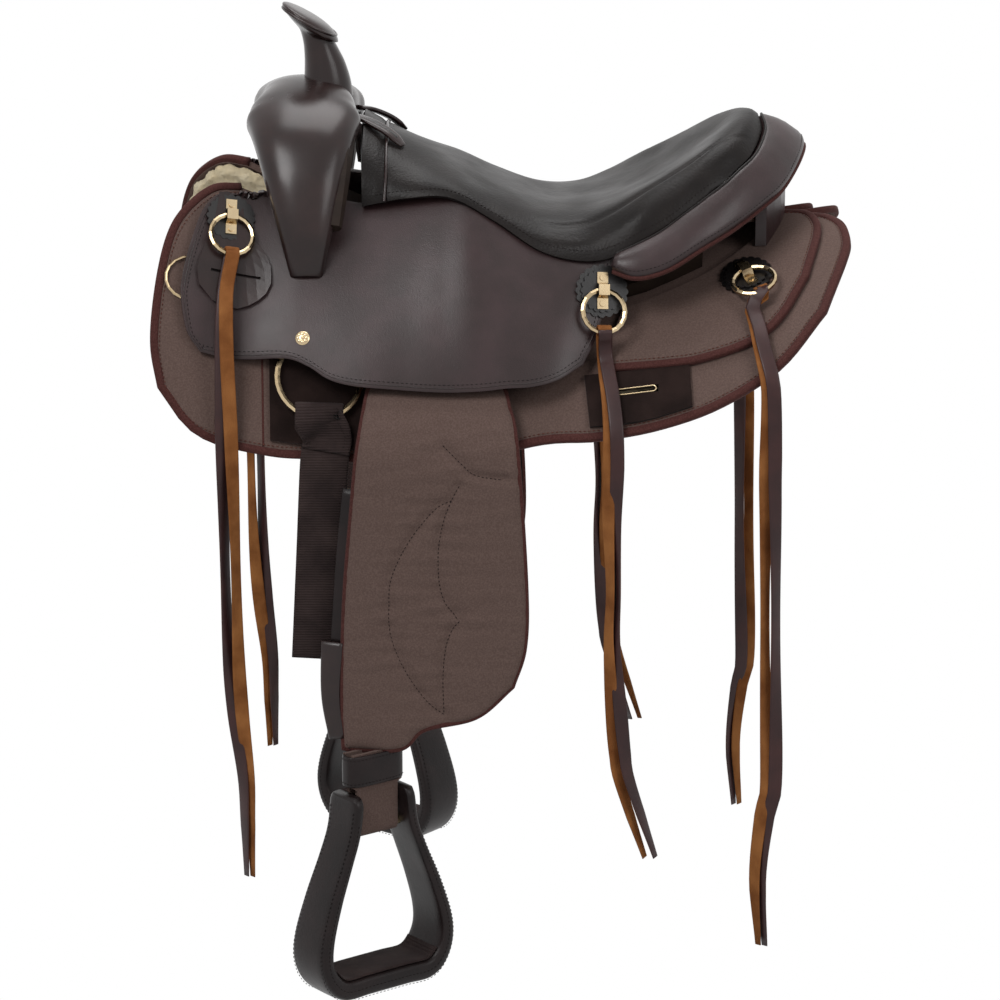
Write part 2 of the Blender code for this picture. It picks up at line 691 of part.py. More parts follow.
def horn_mesh(name, grow):
    """The horn as lofted rings, each grown by grow millimetres."""
    rings = []
    for k, (x, z, radius, tilt) in enumerate(HORN_RINGS):
        turned = Matrix.Rotation(radians(tilt), 4, "Y")
        centre = placed((x, 0, z - (grow if k == 0 else 0)))
        spokes = [2 * pi * n / HORN_SIDES for n in range(HORN_SIDES)]
        rings.append([
            centre + turned @ Vector((cos(a), sin(a), 0)) * (radius + grow) * MM for a in spokes
        ])
    return loft(name, rings, "leather")


def add_horn(cover, tree):
    """The leather covered horn, let into the fork."""
    horn_mesh("horn", 0)
    socket = horn_mesh("horn_socket", GAP / MM)
    cut_by(cover, socket, "horn hole")
    cut_by(tree, socket, "horn socket")


# Small leathers and metal on the sides


def surface_frame(x, s, height_at, side, turn=0.0):
    """A frame on a surface over the back: X along it, Y up it, Z outwards, turned about Z."""
    here = wrap(x, s, height_at(x, s), side)
    up = wrap(x, s - 1, height_at(x, s - 1), side) - here
    along = (wrap(x + 1, s, height_at(x + 1, s), side) - here) * -side
    out = along.cross(up).normalized()
    up.normalize()
    frame = Matrix((up.cross(out), up, out)).transposed().to_4x4()
    frame.translation = here
    return frame @ Matrix.Rotation(radians(turn) * -side, 4, "Z")


def rest_frame(x, s, reach, height, side):
    """A frame for a flat piece that reaches reach millimetres each way over the curved back."""
    along = (wrap(x + reach, s, height, side) - wrap(x - reach, s, height, side)) * -side
    up = (wrap(x, s - reach, height, side) - wrap(x, s + reach, height, side)).normalized()
    out = along.cross(up).normalized()
    frame = Matrix((up.cross(out), up, out)).transposed().to_4x4()
    rim = [wrap(x + reach * cos(a), s + reach * sin(a), height, side) for a in range(12)]
    here = wrap(x, s, height, side)
    frame.translation = here + out * max(0, max((point - here).dot(out) for point in rim))
    return frame


def disc(name, frame, radius, low, high, segments, stuff, scallop=0.0):
    """A round piece from height low to high on a frame, with an optional scalloped rim."""
    rings = []
    for z in (low, high):
        ring = []
        for k in range(segments):
            angle = 2 * pi * k / segments
            r = radius - (scallop if k % 2 else 0)
            ring.append(frame @ Vector((r * cos(angle), r * sin(angle), z)))
        rings.append(ring)
    return loft(name, rings, stuff)


CLIP_BRIDGE = RING_WIRE + 2.6 * MM
BRIDGE_FOOT = 7.5 * MM  # from the middle of the clip to where its bridge starts and is up
BRIDGE_TOP = 5 * MM
CLIP_PATH = [(CLIP_LENGTH / 2, 0), (BRIDGE_FOOT, 0), (BRIDGE_TOP, CLIP_BRIDGE),
             (-BRIDGE_TOP, CLIP_BRIDGE), (-BRIDGE_FOOT, 0), (-CLIP_LENGTH / 2, 0)]
SCREW_RADIUS = 3.2 * MM
SCREW_HEAD = 1.3 * MM
SCREW_INSET = 5.5 * MM
SCREW_SIDES = 12
RING_RADIUS = (RING_INNER + RING_WIRE) / 2
RING_CLEARANCE = 0.9 * MM  # under the bridge, so that the ring turns
RING_RISE = CLIP_BRIDGE - RING_WIRE / 2 - RING_CLEARANCE
RING_LEAN = 4  # degrees that the hanging ring stands off the saddle
ROSETTE_POINTS = 32
RING_ROUND = 20
RING_SIDES = 6


def clip_mesh():
    """A clip plate with its bridge and two screw heads, lying on z = 0."""
    centres = [Vector((0, y, z + CLIP_PLATE / 2)) for y, z in CLIP_PATH]
    count = len(centres)
    ups = [Vector((0, 0, 1))] * count
    plate = sweep("clip", centres, ups, [CLIP_WIDTH] * count, [CLIP_PLATE] * count, "brass")
    for end in (-1, 1):
        frame = Matrix.Translation((0, end * (CLIP_LENGTH / 2 - SCREW_INSET), 0))
        head = disc("screw", frame, SCREW_RADIUS, CLIP_PLATE / 2, CLIP_PLATE + SCREW_HEAD,
                    SCREW_SIDES, "brass")
        join = plate.modifiers.new("screw", "BOOLEAN")
        join.operation = "UNION"
        join.object = hide(head)
    bpy.context.view_layer.update()
    graph = bpy.context.evaluated_depsgraph_get()
    mesh = bpy.data.meshes.new_from_object(plate.evaluated_get(graph))
    for used in [join.object for join in plate.modifiers] + [plate]:
        bpy.data.objects.remove(used, do_unlink=True)
    return mesh


# Where each string is fixed: (x, s, turn in degrees)
STRING_PLACES = {"front": (-269, 137, 0), "mid": (102, 132, 0), "rear": (247, 108, 22)}


def string_frame(place, side):
    """The frame of a string's clip: X along its ring's hinge, Z away from the saddle."""
    x, s, turn = STRING_PLACES[place]
    under = LAYER_GAP + GAP + (KEEPER if place == "front" else ROSETTE)

    def height_at(along, down):
        base = REAR_JOCKEY_TOP if place == "rear" else jockey_height(along, down)
        return base + under

    return surface_frame(x, s, height_at, side, turn)


def ring_frame(place, side):
    """The frame of a hanging ring: its hinge along X at the origin, the ring towards -Y."""
    rise = Matrix.Translation((0, 0, RING_RISE))
    return string_frame(place, side) @ rise @ Matrix.Rotation(radians(-RING_LEAN), 4, "X")


def add_clips_and_rings(over_jockeys):
    """Clip, ring and rosette at each of the six string places."""
    clip = clip_mesh()
    for place in STRING_PLACES:
        for side_name, side in SIDES:
            frame = string_frame(place, side)
            made = bpy.data.objects.new(f"clip_{place}_{side_name}", clip)
            made.matrix_world = frame
            bpy.context.scene.collection.objects.link(made)
            hung = ring_frame(place, side) @ Matrix.Translation((0, -RING_RADIUS, 0))
            ring = round_ring(f"ring_{place}_{side_name}", hung, RING_RADIUS, RING_WIRE / 2,
                              RING_ROUND, RING_SIDES, "brass")
            hang_from(ring, ring_frame(place, side).translation)
            if place != "front":
                rosette = disc(f"rosette_{place}_{side_name}", frame, ROSETTE_RADIUS,
                               -ROSETTE - GAP, -GAP, ROSETTE_POINTS, "leather", SCALLOP)
                if place == "mid":
                    cut_by(rosette, over_jockeys[side_name], "on the jockey")


# Keeper flaps on the front of the jockeys

KEEPER_TOP_EDGE = [(-281, 120), (-269, 112), (-257, 120)]
KEEPER_FRONT_EDGE = [(-281, 120), (-284, 145), (-292, 178), (-301, 208), (-299, 226)]
KEEPER_REAR_EDGE = [(-257, 120), (-253, 138), (-238, 148), (-229, 160), (-228, 178)]
KEEPER_LOWER_EDGE = [(-299, 226), (-283, 232), (-260, 222), (-236, 196), (-228, 178)]
KEEPER_SLIT = (50 * MM, 3 * MM)  # length and width
SLOT_DEPTH = 30 * MM  # of the cutters of slots, more than any thickness that they cut
KEEPER_SLIT_PLACE = (-264, 191, -9)  # x, s and turn in degrees


def add_keeper_flaps():
    """The stiff leather flaps with a slit, which lie on the jockeys below the front rings."""
    grid = patch(KEEPER_TOP_EDGE, KEEPER_LOWER_EDGE, KEEPER_FRONT_EDGE, KEEPER_REAR_EDGE, 7, 8)
    x, s, turn = KEEPER_SLIT_PLACE
    for side_name, side in SIDES:
        flap = wrapped_panel(f"keeper_flap_{side_name}", grid,
                             lambda x, s: jockey_height(x, s) + LAYER_GAP,
                             lambda x, s: jockey_height(x, s) + LAYER_GAP + KEEPER, side, "leather")
        frame = surface_frame(x, s, jockey_height, side, turn)
        cut_by(flap, block(f"keeper_slit_{side_name}", frame, (*KEEPER_SLIT, SLOT_DEPTH)), "slit")


def block(name, frame, size):
    """A box about a frame's origin, for cutting."""
    bm = bmesh.new()
    scale = Matrix.Diagonal((*size, 1))
    bmesh.ops.create_cube(bm, size=1, matrix=frame @ scale)
    return finish_mesh(name, bm, "brass")


# Strings: one flat lace each, folded through its ring

# Each half's way from the ring down to its tip, in millimetres: (x, y, z)
STRING_ROUTES = {
    "front": [(-272, 173, 2), (-273, 187, -25), (-273, 197, -58), (-272, 207, -98),
              (-271, 214, -140), (-270, 215.5, -200), (-268, 215.5, -350), (-264, 215.5, -426),
              (-257, 215.5, -494), (-256, 215.5, -540), (-255, 215.5, -600)],
    "mid": [(104, 175, -64), (106, 189, -80), (109, 205, -98), (111, 220, -118),
            (112, 230, -138), (112, 232, -170), (111, 232, -223), (113, 232, -293),
            (112, 232, -350), (117, 232, -422), (121, 232, -466), (126, 232, -494),
            (152, 232, -574)],
    "rear": [(251, 160, -18), (255, 178, -33), (258, 194, -47), (261, 204, -60),
             (264, 214, -72), (267, 221, -88), (268, 223, -120), (268, 223, -180),
             (269, 223, -229), (271, 223, -364), (274, 223, -497), (268, 223, -532),
             (262, 223, -599), (267, 223, -672)],
}
FOLD_RADIUS = RING_WIRE / 2 + 0.7 * MM + STRING_THICKNESS / 2
FOLD_PLACE = 2 * RING_RADIUS - 2.2 * MM  # from the ring's hinge: a flat fold clears a round wire
FOLD_DROP = 4 * MM  # straight run below the fold
PLY_SPACE = STRING_THICKNESS / 2 + 0.35 * MM
STRING_STEPS = 14
FOLD_STEPS = 4


def string_half(place, side, ply):
    """Centres and outward directions of one half, ring to tip: ply is -1 inside, 1 outside."""
    frame = ring_frame(place, side)
    out = (frame.to_3x3() @ Vector((0, 0, 1))).normalized()
    along = Vector((1, 0, 0))
    start = frame @ Vector((0, -FOLD_PLACE, ply * FOLD_RADIUS))
    below = frame @ Vector((0, -FOLD_PLACE - FOLD_DROP, ply * FOLD_RADIUS))
    route = [placed((x, side * y, z)) for x, y, z in STRING_ROUTES[place]]
    points = [start] + [Vector(point) for point in smooth([below] + route, STRING_STEPS)]
    centres, outs = [], []
    for k, point in enumerate(points):
        here = point.copy()
        ahead = (points[min(k + 1, STRING_STEPS + 1)] - points[max(k - 1, 0)]).normalized()
        facing = out
        if k > 1:
            facing = along.cross(ahead)
            facing = (facing if facing.dot(out) > 0 else -facing).normalized()
            here += facing * ply * PLY_SPACE
            here += along * ply * PLY_OFFSET / 2 * min(1, k / FOLD_STEPS)
        centres.append(here)
        outs.append(facing * ply)
    return centres, outs


def add_strings():
    """The six laces."""
    for place in STRING_PLACES:
        for side_name, side in SIDES:
            inner, inner_ups = string_half(place, side, -1)
            outer, outer_ups = string_half(place, side, 1)
            frame = ring_frame(place, side)
            bend, bend_ups = [], []
            for k in range(1, FOLD_STEPS):
                angle = pi * k / FOLD_STEPS
                way = frame.to_3x3() @ Vector((0, sin(angle), -cos(angle)))
                bend.append(frame @ Vector((0, -FOLD_PLACE, 0)) + way * FOLD_RADIUS)
                bend_ups.append(way)
            centres = inner[::-1] + bend + outer
            ups = inner_ups[::-1] + bend_ups + outer_ups
            count = len(centres)
            lace = sweep(f"string_{place}_{side_name}", centres, ups, [STRING_WIDTH] * count,
                         [STRING_THICKNESS] * count, "lace")
            hang_from(lace, frame @ Vector((0, -FOLD_PLACE, 0)))


# Rigging: leather plates on the skirts, rings, webbing and the rear slots

RIGGING_TOP_EDGE = [(-232, 150), (-110, 150)]
RIGGING_LOWER_EDGE = [(-228, 326), (-170, 300), (-110, 280)]
RIGGING_RING_PLACE = (-180, 239)
RIGGING_RADIUS = (RIGGING_RING_OUTER - RIGGING_WIRE) / 2
RIGGING_ROUND = 32
RIGGING_LEAN = 2.3  # degrees that the webbing behind its wire holds the ring off the plate
REAR_RIGGING_TOP_EDGE = [(84, 193), (135, 195), (188, 199)]
REAR_RIGGING_LOWER_EDGE = [(89, 247), (140, 249), (190, 243)]
REAR_SLOT_PLACE = (134, 217, 3)  # x, s and turn in degrees
REAR_SLOT = (47 * MM, 8 * MM)  # length and width
DEE_PLACE = (-320, 234)
DEE_BAR = 12 * MM  # from the dee's place back to its straight bar
DEE_REACH = 25 * MM
DEE_HALF_HEIGHT = 22 * MM
DEE_WIRE = 3 * MM
DEE_CORNER = 0.3  # share of its half height at which its straight bar starts to bend
DEE_REST = 15  # millimetres each way over which the dee lies on the skirt


def rigging_frame(side):
    """The frame of a rigging ring's centre, lying over its plate."""
    lie = RIGGING_TOP + GAP + RIGGING_WIRE / 2
    frame = rest_frame(*RIGGING_RING_PLACE, RIGGING_RADIUS / MM, lie, side)
    top = Matrix.Translation((0, RIGGING_RADIUS, 0))
    lean = Matrix.Rotation(radians(-RIGGING_LEAN), 4, "X")
    return frame @ top @ lean @ top.inverted()


def add_rigging():
    """The rigging plates with their rings, the slotted rear plates and the breast collar dees."""
    front, rear = straight_sides(RIGGING_TOP_EDGE, RIGGING_LOWER_EDGE)
    plate = patch(RIGGING_TOP_EDGE, RIGGING_LOWER_EDGE, front, rear, 6, 6)
    front, rear = straight_sides(REAR_RIGGING_TOP_EDGE, REAR_RIGGING_LOWER_EDGE)
    rear_plate = patch(REAR_RIGGING_TOP_EDGE, REAR_RIGGING_LOWER_EDGE, front, rear, 6, 3)
    for side_name, side in SIDES:
        wrapped_panel(f"rigging_plate_{side_name}", plate, OVER_SKIRT, RIGGING_TOP, side, "suede")
        slotted = wrapped_panel(f"rear_rigging_{side_name}", rear_plate, OVER_SKIRT, RIGGING_TOP,
                                side, "suede")
        x, s, turn = REAR_SLOT_PLACE
        frame = wrap_frame(x, s, SKIRT_TOP, side, turn * -side)
        slot = block(f"rear_slot_{side_name}", frame, (*REAR_SLOT, SLOT_DEPTH))
        for cut in (slotted, bpy.data.objects[f"skirt_{side_name}"]):
            cut_by(cut, slot, "slot")
        round_ring(f"rigging_ring_{side_name}", rigging_frame(side), RIGGING_RADIUS,
                   RIGGING_WIRE / 2, RIGGING_ROUND, RING_SIDES, "brass")
        add_dee(f"breast_dee_{side_name}", side)


def add_dee(name, side):
    """A half round dee, which stands out in front of the jockey."""
    frame = rest_frame(*DEE_PLACE, DEE_REST, SKIRT_TOP + LAYER_GAP + DEE_WIRE / 2, side)
    bow = [(DEE_REACH * cos(radians(a)), DEE_HALF_HEIGHT * sin(radians(a)))
           for a in range(-90, 91, 20)]
    bow += [(0, DEE_HALF_HEIGHT * DEE_CORNER), (0, -DEE_HALF_HEIGHT * DEE_CORNER)]
    bow = [(side * (x - DEE_BAR), y) for x, y in bow]
    curve = bpy.data.curves.new(name, "CURVE")
    curve.dimensions = "3D"
    curve.bevel_depth = DEE_WIRE / 2
    curve.bevel_resolution = 1
    spline = curve.splines.new("POLY")
    spline.points.add(len(bow) - 1)
    spline.use_cyclic_u = True
    for point, (x, y) in zip(spline.points, bow):
        point.co = (*(frame @ Vector((x, y, 0))), 1)
    add_object(name, curve, "brass")


# Webbing: down the inside from its fold in the rigging ring to the tip, in mm (x, y, z)
LATIGO_ROUTE = [(-171, 208.7, -140), (-173, 214.8, -155), (-175, 218, -175), (-179, 218.5, -255),
                (-185, 218.5, -368)]
LATIGO_LAP = 2  # route points that the short outer end covers
WEBBING_CLEARANCE = 0.8 * MM  # round the ring's wire
LATIGO_FOLD = RIGGING_WIRE / 2 + WEBBING_CLEARANCE + LATIGO_THICKNESS / 2
LATIGO_FOLD_PLACE = sqrt(RIGGING_RADIUS**2 - (LATIGO_WIDTH / 2) ** 2) - 2 * MM
LATIGO_RUN = 15 * MM  # straight run past the ring's wire
LATIGO_STEPS = 9
LAP_STEPS = 3
PLY_GAP = 0.5 * MM


def webbing_run(fold, side, ply, last, steps):
    """Centres and outward directions of one end of the webbing, from the fold down."""
    out = (fold.to_3x3() @ Vector((0, 0, 1))).normalized()
    start = fold @ Vector((0, 0, ply * LATIGO_FOLD))
    below = fold @ Vector((0, -LATIGO_RUN, ply * LATIGO_FOLD))
    route = [placed((x, side * y, z)) for x, y, z in LATIGO_ROUTE[:last]]
    points = [start] + [Vector(point) for point in smooth([below] + route, steps)]
    centres, ups = [], []
    for k, point in enumerate(points):
        ahead = (points[min(k + 1, steps + 1)] - points[max(k - 1, 0)]).normalized()
        facing = out
        if k > 1:
            facing = Vector((1, 0, 0)).cross(ahead)
            facing = (facing if facing.dot(out) > 0 else -facing).normalized()
            point = point + facing * ply * (LATIGO_THICKNESS + PLY_GAP) / 2
        centres.append(point)
        ups.append(facing * ply)
    return centres, ups


def add_webbing():
    """The latigo on the near side and the off billet, each folded over its rigging ring."""
    for (side_name, side), piece in zip(SIDES, ("latigo", "off_billet")):
        fold = rigging_frame(side) @ Matrix.Translation((0, -LATIGO_FOLD_PLACE, 0))
        inner, inner_ups = webbing_run(fold, side, -1, len(LATIGO_ROUTE), LATIGO_STEPS)
        outer, outer_ups = webbing_run(fold, side, 1, LATIGO_LAP, LAP_STEPS)
        angles = [pi * k / FOLD_STEPS for k in range(1, FOLD_STEPS)]
        bend = [fold.to_3x3() @ Vector((0, sin(a), -cos(a))) for a in angles]
        centres = inner[::-1] + [fold.translation + way * LATIGO_FOLD for way in bend] + outer
        ups = inner_ups[::-1] + bend + outer_ups
        count = len(centres)
        strap = sweep(piece, centres, ups, [LATIGO_WIDTH] * count, [LATIGO_THICKNESS] * count,
                      "webbing")
        hang_from(strap, rigging_frame(side).translation)


# Fenders, hobbles and stirrups. Depths are millimetres below z = 0.

FENDER_STRAP_TOP = -8
FENDER_BOTTOM = 454
FENDER_HANG = 44  # depth from which FENDER_DROP counts
STRAP_FRONT = -118
FENDER_PIVOT_X = -94


def strap_plane():
    """Distance from the middle at which the strap hangs beside the bar's edge."""
    edge = wrap(STRAP_FRONT, value_along(BAR_LOWER_EDGE, STRAP_FRONT), BAR_TOP)
    return (abs(edge.y) + LAYER_GAP + FENDER_STRAP / 2) / MM


FENDER_LINE = [(FENDER_STRAP_TOP, strap_plane()), (24, strap_plane()), (45, 144), (70, 167),
               (100, 196), (130, 218), (160, 228), (200, 231), (300, 236), (400, 241), (FENDER_BOTTOM, 244)]
FENDER_THICKNESS = [(FENDER_STRAP_TOP, FENDER_STRAP), (60, FENDER_STRAP),
                    (90, (FENDER_STRAP + FENDER_PAD) / 2), (130, FENDER_PAD), (420, FENDER_PAD),
                    (FENDER_BOTTOM, FENDER_PAD * 0.8)]
FENDER_FRONT_EDGE = [(STRAP_FRONT, FENDER_STRAP_TOP), (STRAP_FRONT, 40), (-124, 75), (-132, 105),
                     (-141, 156), (-147, 218), (-153, 285), (-156, 348), (-157, 420),
                     (-156, FENDER_BOTTOM)]
FENDER_REAR_EDGE = [(-62, FENDER_STRAP_TOP), (-60, 35), (-38, 66), (-2, 88), (8, 112), (16, 150), (25, 285),
                    (24, 350), (12, 390)]
FENDER_LOWER_EDGE = [(-156, FENDER_BOTTOM), (-101, FENDER_BOTTOM), (-76, 434), (-24, 421), (12, 390)]
FENDER_EDGE = 0.6  # share of the thickness that is left along the outline


def lowered(depth):
    """World z of a depth on the fender, which FENDER_DROP stretches."""
    past = max(0, depth - FENDER_HANG)
    return -(min(depth, FENDER_HANG) + past * FENDER_DROP / DRAWN_FENDER_DROP) * MM


def fender_point(x, depth, off, side):
    """A point of the fender's middle surface, moved out by off metres."""
    y = value_along(FENDER_LINE, depth)
    slope = (value_along(FENDER_LINE, depth + 2) - value_along(FENDER_LINE, depth - 2)) / 4
    facing = Vector((0, 1, slope)).normalized() * off
    return Vector((lengthwise(x), side * (y * MM + facing.y), lowered(depth) + facing.z))


def add_fenders():
    """The padded fenders, each with the strap that carries it from the tree's bar."""
    top = [FENDER_FRONT_EDGE[0], FENDER_REAR_EDGE[0]]
    across, down = 6, 17
    grid = patch(top, FENDER_LOWER_EDGE, FENDER_FRONT_EDGE, FENDER_REAR_EDGE, across, down)
    for side_name, side in SIDES:
        faces = []
        for sign in (1, -1):
            face = []
            for i, row in enumerate(grid):
                line = []
                for j, (x, depth) in enumerate(row):
                    depth = min(depth, FENDER_BOTTOM)
                    half = value_along(FENDER_THICKNESS, depth) / 2
                    rim = i in (0, across) or j == down
                    thin = FENDER_EDGE if rim and depth > FENDER_HANG else 1
                    line.append(fender_point(x, depth, sign * half * thin, side))
                face.append(line)
            faces.append(face)
        fender = shell(f"fender_{side_name}", *faces, "cordura")
        hang_from(fender, Vector((lengthwise(FENDER_PIVOT_X), side * strap_plane() * MM, 0)))


NECK_X = -128
NECK_Y = 245
NECK_CLEARANCE = 0.6 * MM
NECK_TOP_WIDTH = 60 * MM
NECK_NARROWS = 2 * MM  # below the hobble, where the neck starts to narrow, and where it has
NECK_NARROW = 5 * MM
HOBBLE_HEIGHT = 32 * MM
HOBBLE_LEATHER = 3.5 * MM
HOBBLE_CLEARANCE = 0.5 * MM
HOBBLE_ROUND = 3 * MM  # cut off its outer corners, and more with its leather
HOBBLE_ROUNDER = 0.6
HOBBLE_INNER_ROUND = 0.4 * MM
STIRRUP_BELOW_HOBBLE = 10 * MM
BOLT_BELOW_TOP = 38 * MM
BOLT_CLEARANCE = 0.4 * MM
BOLT_SIDES = 16
NECK_PLY = BOLT_RADIUS + BOLT_CLEARANCE + STIRRUP_LEATHER / 2
ARM = 12 * MM  # thickness of the stirrup's arms at the top, of its tread below
TREAD = 22 * MM
ARM_WIDTH = 47 * MM


def neck_frame(side):
    """The frame at the fender's lower end: X from the stirrup's front to its rear, Z up."""
    turn = Matrix.Rotation(radians(-side * STIRRUP_TURN), 4, "Z")
    at = Vector((lengthwise(NECK_X), side * NECK_Y * MM, lowered(FENDER_BOTTOM) - NECK_CLEARANCE))
    return Matrix.Translation(at) @ turn


def bolt_drop():
    """How far the stirrup's bolt lies below the neck frame."""
    return HOBBLE_HEIGHT + STIRRUP_BELOW_HOBBLE + BOLT_BELOW_TOP


def add_neck(name, frame):
    """The stirrup leather below the fender: two plies that turn round the bolt."""
    drop = bolt_drop()
    down = [(NECK_PLY, 0), (NECK_PLY, -HOBBLE_HEIGHT - NECK_NARROWS),
            (NECK_PLY, -HOBBLE_HEIGHT - NECK_NARROW),
            (NECK_PLY, -drop)]
    turn = [(NECK_PLY * cos(radians(a)), -drop - NECK_PLY * sin(radians(a)))
            for a in range(20, 180, 20)]
    path = down + turn + [(-y, z) for y, z in reversed(down)]
    centres = [frame @ Vector((0, y, z)) for y, z in path]
    ups = []
    for y, z in path:
        way = Vector((0, y, min(0, z + drop)))
        ups.append((frame.to_3x3() @ way).normalized())
    wide = [NECK_TOP_WIDTH, NECK_TOP_WIDTH]
    rest = len(path) - 4
    widths = wide + [STIRRUP_LEATHER_WIDTH] * rest + wide
    neck = sweep(name, centres, ups, widths, [STIRRUP_LEATHER] * len(path), "soft_leather")
    hang_from(neck, frame.translation)


def add_hobble(name, frame):
    """The leather band round the neck."""
    depth = NECK_PLY + STIRRUP_LEATHER / 2 + HOBBLE_CLEARANCE
    width = NECK_TOP_WIDTH / 2 + HOBBLE_CLEARANCE
    top = -NECK_CLEARANCE
    bm = bmesh.new()
    loops = []
    for z, grow in ((top, 0), (top, HOBBLE_LEATHER), (top - HOBBLE_HEIGHT, HOBBLE_LEATHER),
                    (top - HOBBLE_HEIGHT, 0)):
        cut = HOBBLE_ROUND + grow * HOBBLE_ROUNDER
        x, y = width + grow, depth + grow
        if not grow:
            cut = HOBBLE_INNER_ROUND
        corners = [(x - cut, -y), (x, cut - y), (x, y - cut), (x - cut, y),
                   (cut - x, y), (-x, y - cut), (-x, cut - y), (cut - x, -y)]
        loops.append([bm.verts.new(frame @ Vector((a, b, z))) for a, b in corners])
    for k, loop in enumerate(loops):
        onward = loops[(k + 1) % len(loops)]
        for n in range(len(loop)):
            m = (n + 1) % len(loop)
            bm.faces.new((loop[n], loop[m], onward[m], onward[n]))
    hang_from(finish_mesh(name, bm, "leather"), frame.translation)


def stirrup_outline():
    """(centre across, centre height, thickness, width) from one arm's top round to the other's."""
    top = STIRRUP_TOP_WIDTH / 2 - ARM / 2
    bottom = STIRRUP_BOTTOM_WIDTH / 2
    height = STIRRUP_HEIGHT
    low = height - TREAD / 2
    half = [
        (top, 0, ARM, ARM_WIDTH * 0.8), (top, 0.04 * height, ARM, ARM_WIDTH),
        (top + 0.02 * height, 0.18 * height, ARM, ARM_WIDTH),
        (top + 0.07 * height, 0.32 * height, ARM * 1.08, ARM_WIDTH * 1.03),
        (bottom * 0.74, 0.5 * height, ARM * 1.17, ARM_WIDTH * 1.09),
        (bottom * 0.88, 0.68 * height, ARM * 1.25, TREAD_DEPTH * 0.95),
        (bottom * 0.90, 0.80 * height, ARM * 1.35, TREAD_DEPTH * 0.98),
        (bottom * 0.80, 0.895 * height, ARM * 1.6, TREAD_DEPTH),
        (bottom * 0.62, low, TREAD, TREAD_DEPTH), (bottom * 0.3, low, TREAD, TREAD_DEPTH),
        (0, low, TREAD, TREAD_DEPTH),
    ]
    return half + [(-x, z, thick, wide) for x, z, thick, wide in reversed(half[:-1])]


def add_stirrup(name, frame):
    """The stirrup with its bolt."""
    outline = stirrup_outline()
    top = -bolt_drop() + BOLT_BELOW_TOP
    centres = [frame @ Vector((x, 0, top - z)) for x, z, _, _ in outline]
    last = len(centres) - 1
    ups = []
    for i in range(last + 1):
        ahead = centres[min(i + 1, last)] - centres[max(i - 1, 0)]
        ups.append(ahead.cross(frame.to_3x3() @ Vector((0, 1, 0))).normalized())
    band = sweep(name, centres, ups, [row[3] for row in outline], [row[2] for row in outline],
                 "leather")
    across = frame @ Matrix.Translation((0, 0, -bolt_drop())) @ Matrix.Rotation(pi / 2, 4, "Y")
    reach = STIRRUP_TOP_WIDTH / 2
    bolt = disc(f"{name}_bolt", across, BOLT_RADIUS, -reach, reach, BOLT_SIDES, "brass")
    join = band.modifiers.new("bolt", "BOOLEAN")
    join.operation = "UNION"
    join.object = hide(bolt)
    hang_from(band, across.translation)


def add_stirrups():
    """What hangs from each fender and turns under it."""
    for side_name, side in SIDES:
        frame = neck_frame(side)
        add_neck(f"stirrup_leather_{side_name}", frame)
        add_hobble(f"hobble_{side_name}", frame)
        add_stirrup(f"stirrup_{side_name}", frame)


def build():
    """Makes the whole saddle."""
    clear_scene()
    add_skirts()
    add_tree_bars()
    add_jockeys()
    add_rear_jockeys()
    over_jockeys = jockey_cutters(SHALLOW)
    seat, ground_seat = add_seat()
    roll = roll_solid("cantle_roll", 0)
    add_cantle()
    cover, tree = add_fork()
    for body in (seat, ground_seat, roll):
        for cutter in over_jockeys.values():
            cut_by(body, cutter, "over the jockey")
    cut_by(seat, roll_solid("roll_space", ROLL_CLEARANCE), "beside the roll")
    for cutter in jockey_cutters(DEEP).values():
        for body in (cover, tree):
            cut_by(body, cutter, "on the jockey")
    add_horn(cover, tree)
    add_clips_and_rings(over_jockeys)
    add_keeper_flaps()
    add_strings()
    add_rigging()
    add_webbing()
    add_fenders()
    add_stirrups()


if __name__ == "__main__":
    build()
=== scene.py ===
"""The looks of the trail saddle: leather, woven panels, fleece, metal, laces and stitching.

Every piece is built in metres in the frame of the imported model. +X runs to the rear, +Z up,
and the rider's left side is at -Y. Places on the horse's back are in millimetres: x along
the back, s down the side from its ridge.
"""

import json
import logging
from collections.abc import Callable, Sequence
from dataclasses import dataclass, field
from enum import Enum
from math import atan2, cos, degrees, pi, radians, sin, sqrt

import bmesh
import bpy
import numpy as np
from mathutils import Matrix, Vector, noise

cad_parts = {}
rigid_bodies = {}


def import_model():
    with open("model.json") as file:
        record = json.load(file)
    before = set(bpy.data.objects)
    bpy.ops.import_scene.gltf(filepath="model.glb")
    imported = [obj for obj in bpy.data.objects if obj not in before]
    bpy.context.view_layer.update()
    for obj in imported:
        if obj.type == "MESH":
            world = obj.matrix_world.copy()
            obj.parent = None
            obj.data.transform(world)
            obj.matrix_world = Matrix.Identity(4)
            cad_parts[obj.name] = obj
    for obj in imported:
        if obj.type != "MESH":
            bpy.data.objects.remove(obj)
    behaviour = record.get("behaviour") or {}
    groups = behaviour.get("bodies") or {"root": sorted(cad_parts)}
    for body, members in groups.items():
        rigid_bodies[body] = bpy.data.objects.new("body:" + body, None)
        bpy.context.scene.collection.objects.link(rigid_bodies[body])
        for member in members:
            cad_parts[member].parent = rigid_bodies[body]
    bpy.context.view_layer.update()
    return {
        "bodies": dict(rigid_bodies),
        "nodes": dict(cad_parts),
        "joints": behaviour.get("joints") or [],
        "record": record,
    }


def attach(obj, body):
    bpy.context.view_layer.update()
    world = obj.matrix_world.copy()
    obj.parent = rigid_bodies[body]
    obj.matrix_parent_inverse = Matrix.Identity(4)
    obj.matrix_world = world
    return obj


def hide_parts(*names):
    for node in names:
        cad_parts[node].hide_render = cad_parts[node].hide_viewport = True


LOG = logging.getLogger("trail_saddle")
MM = 0.001

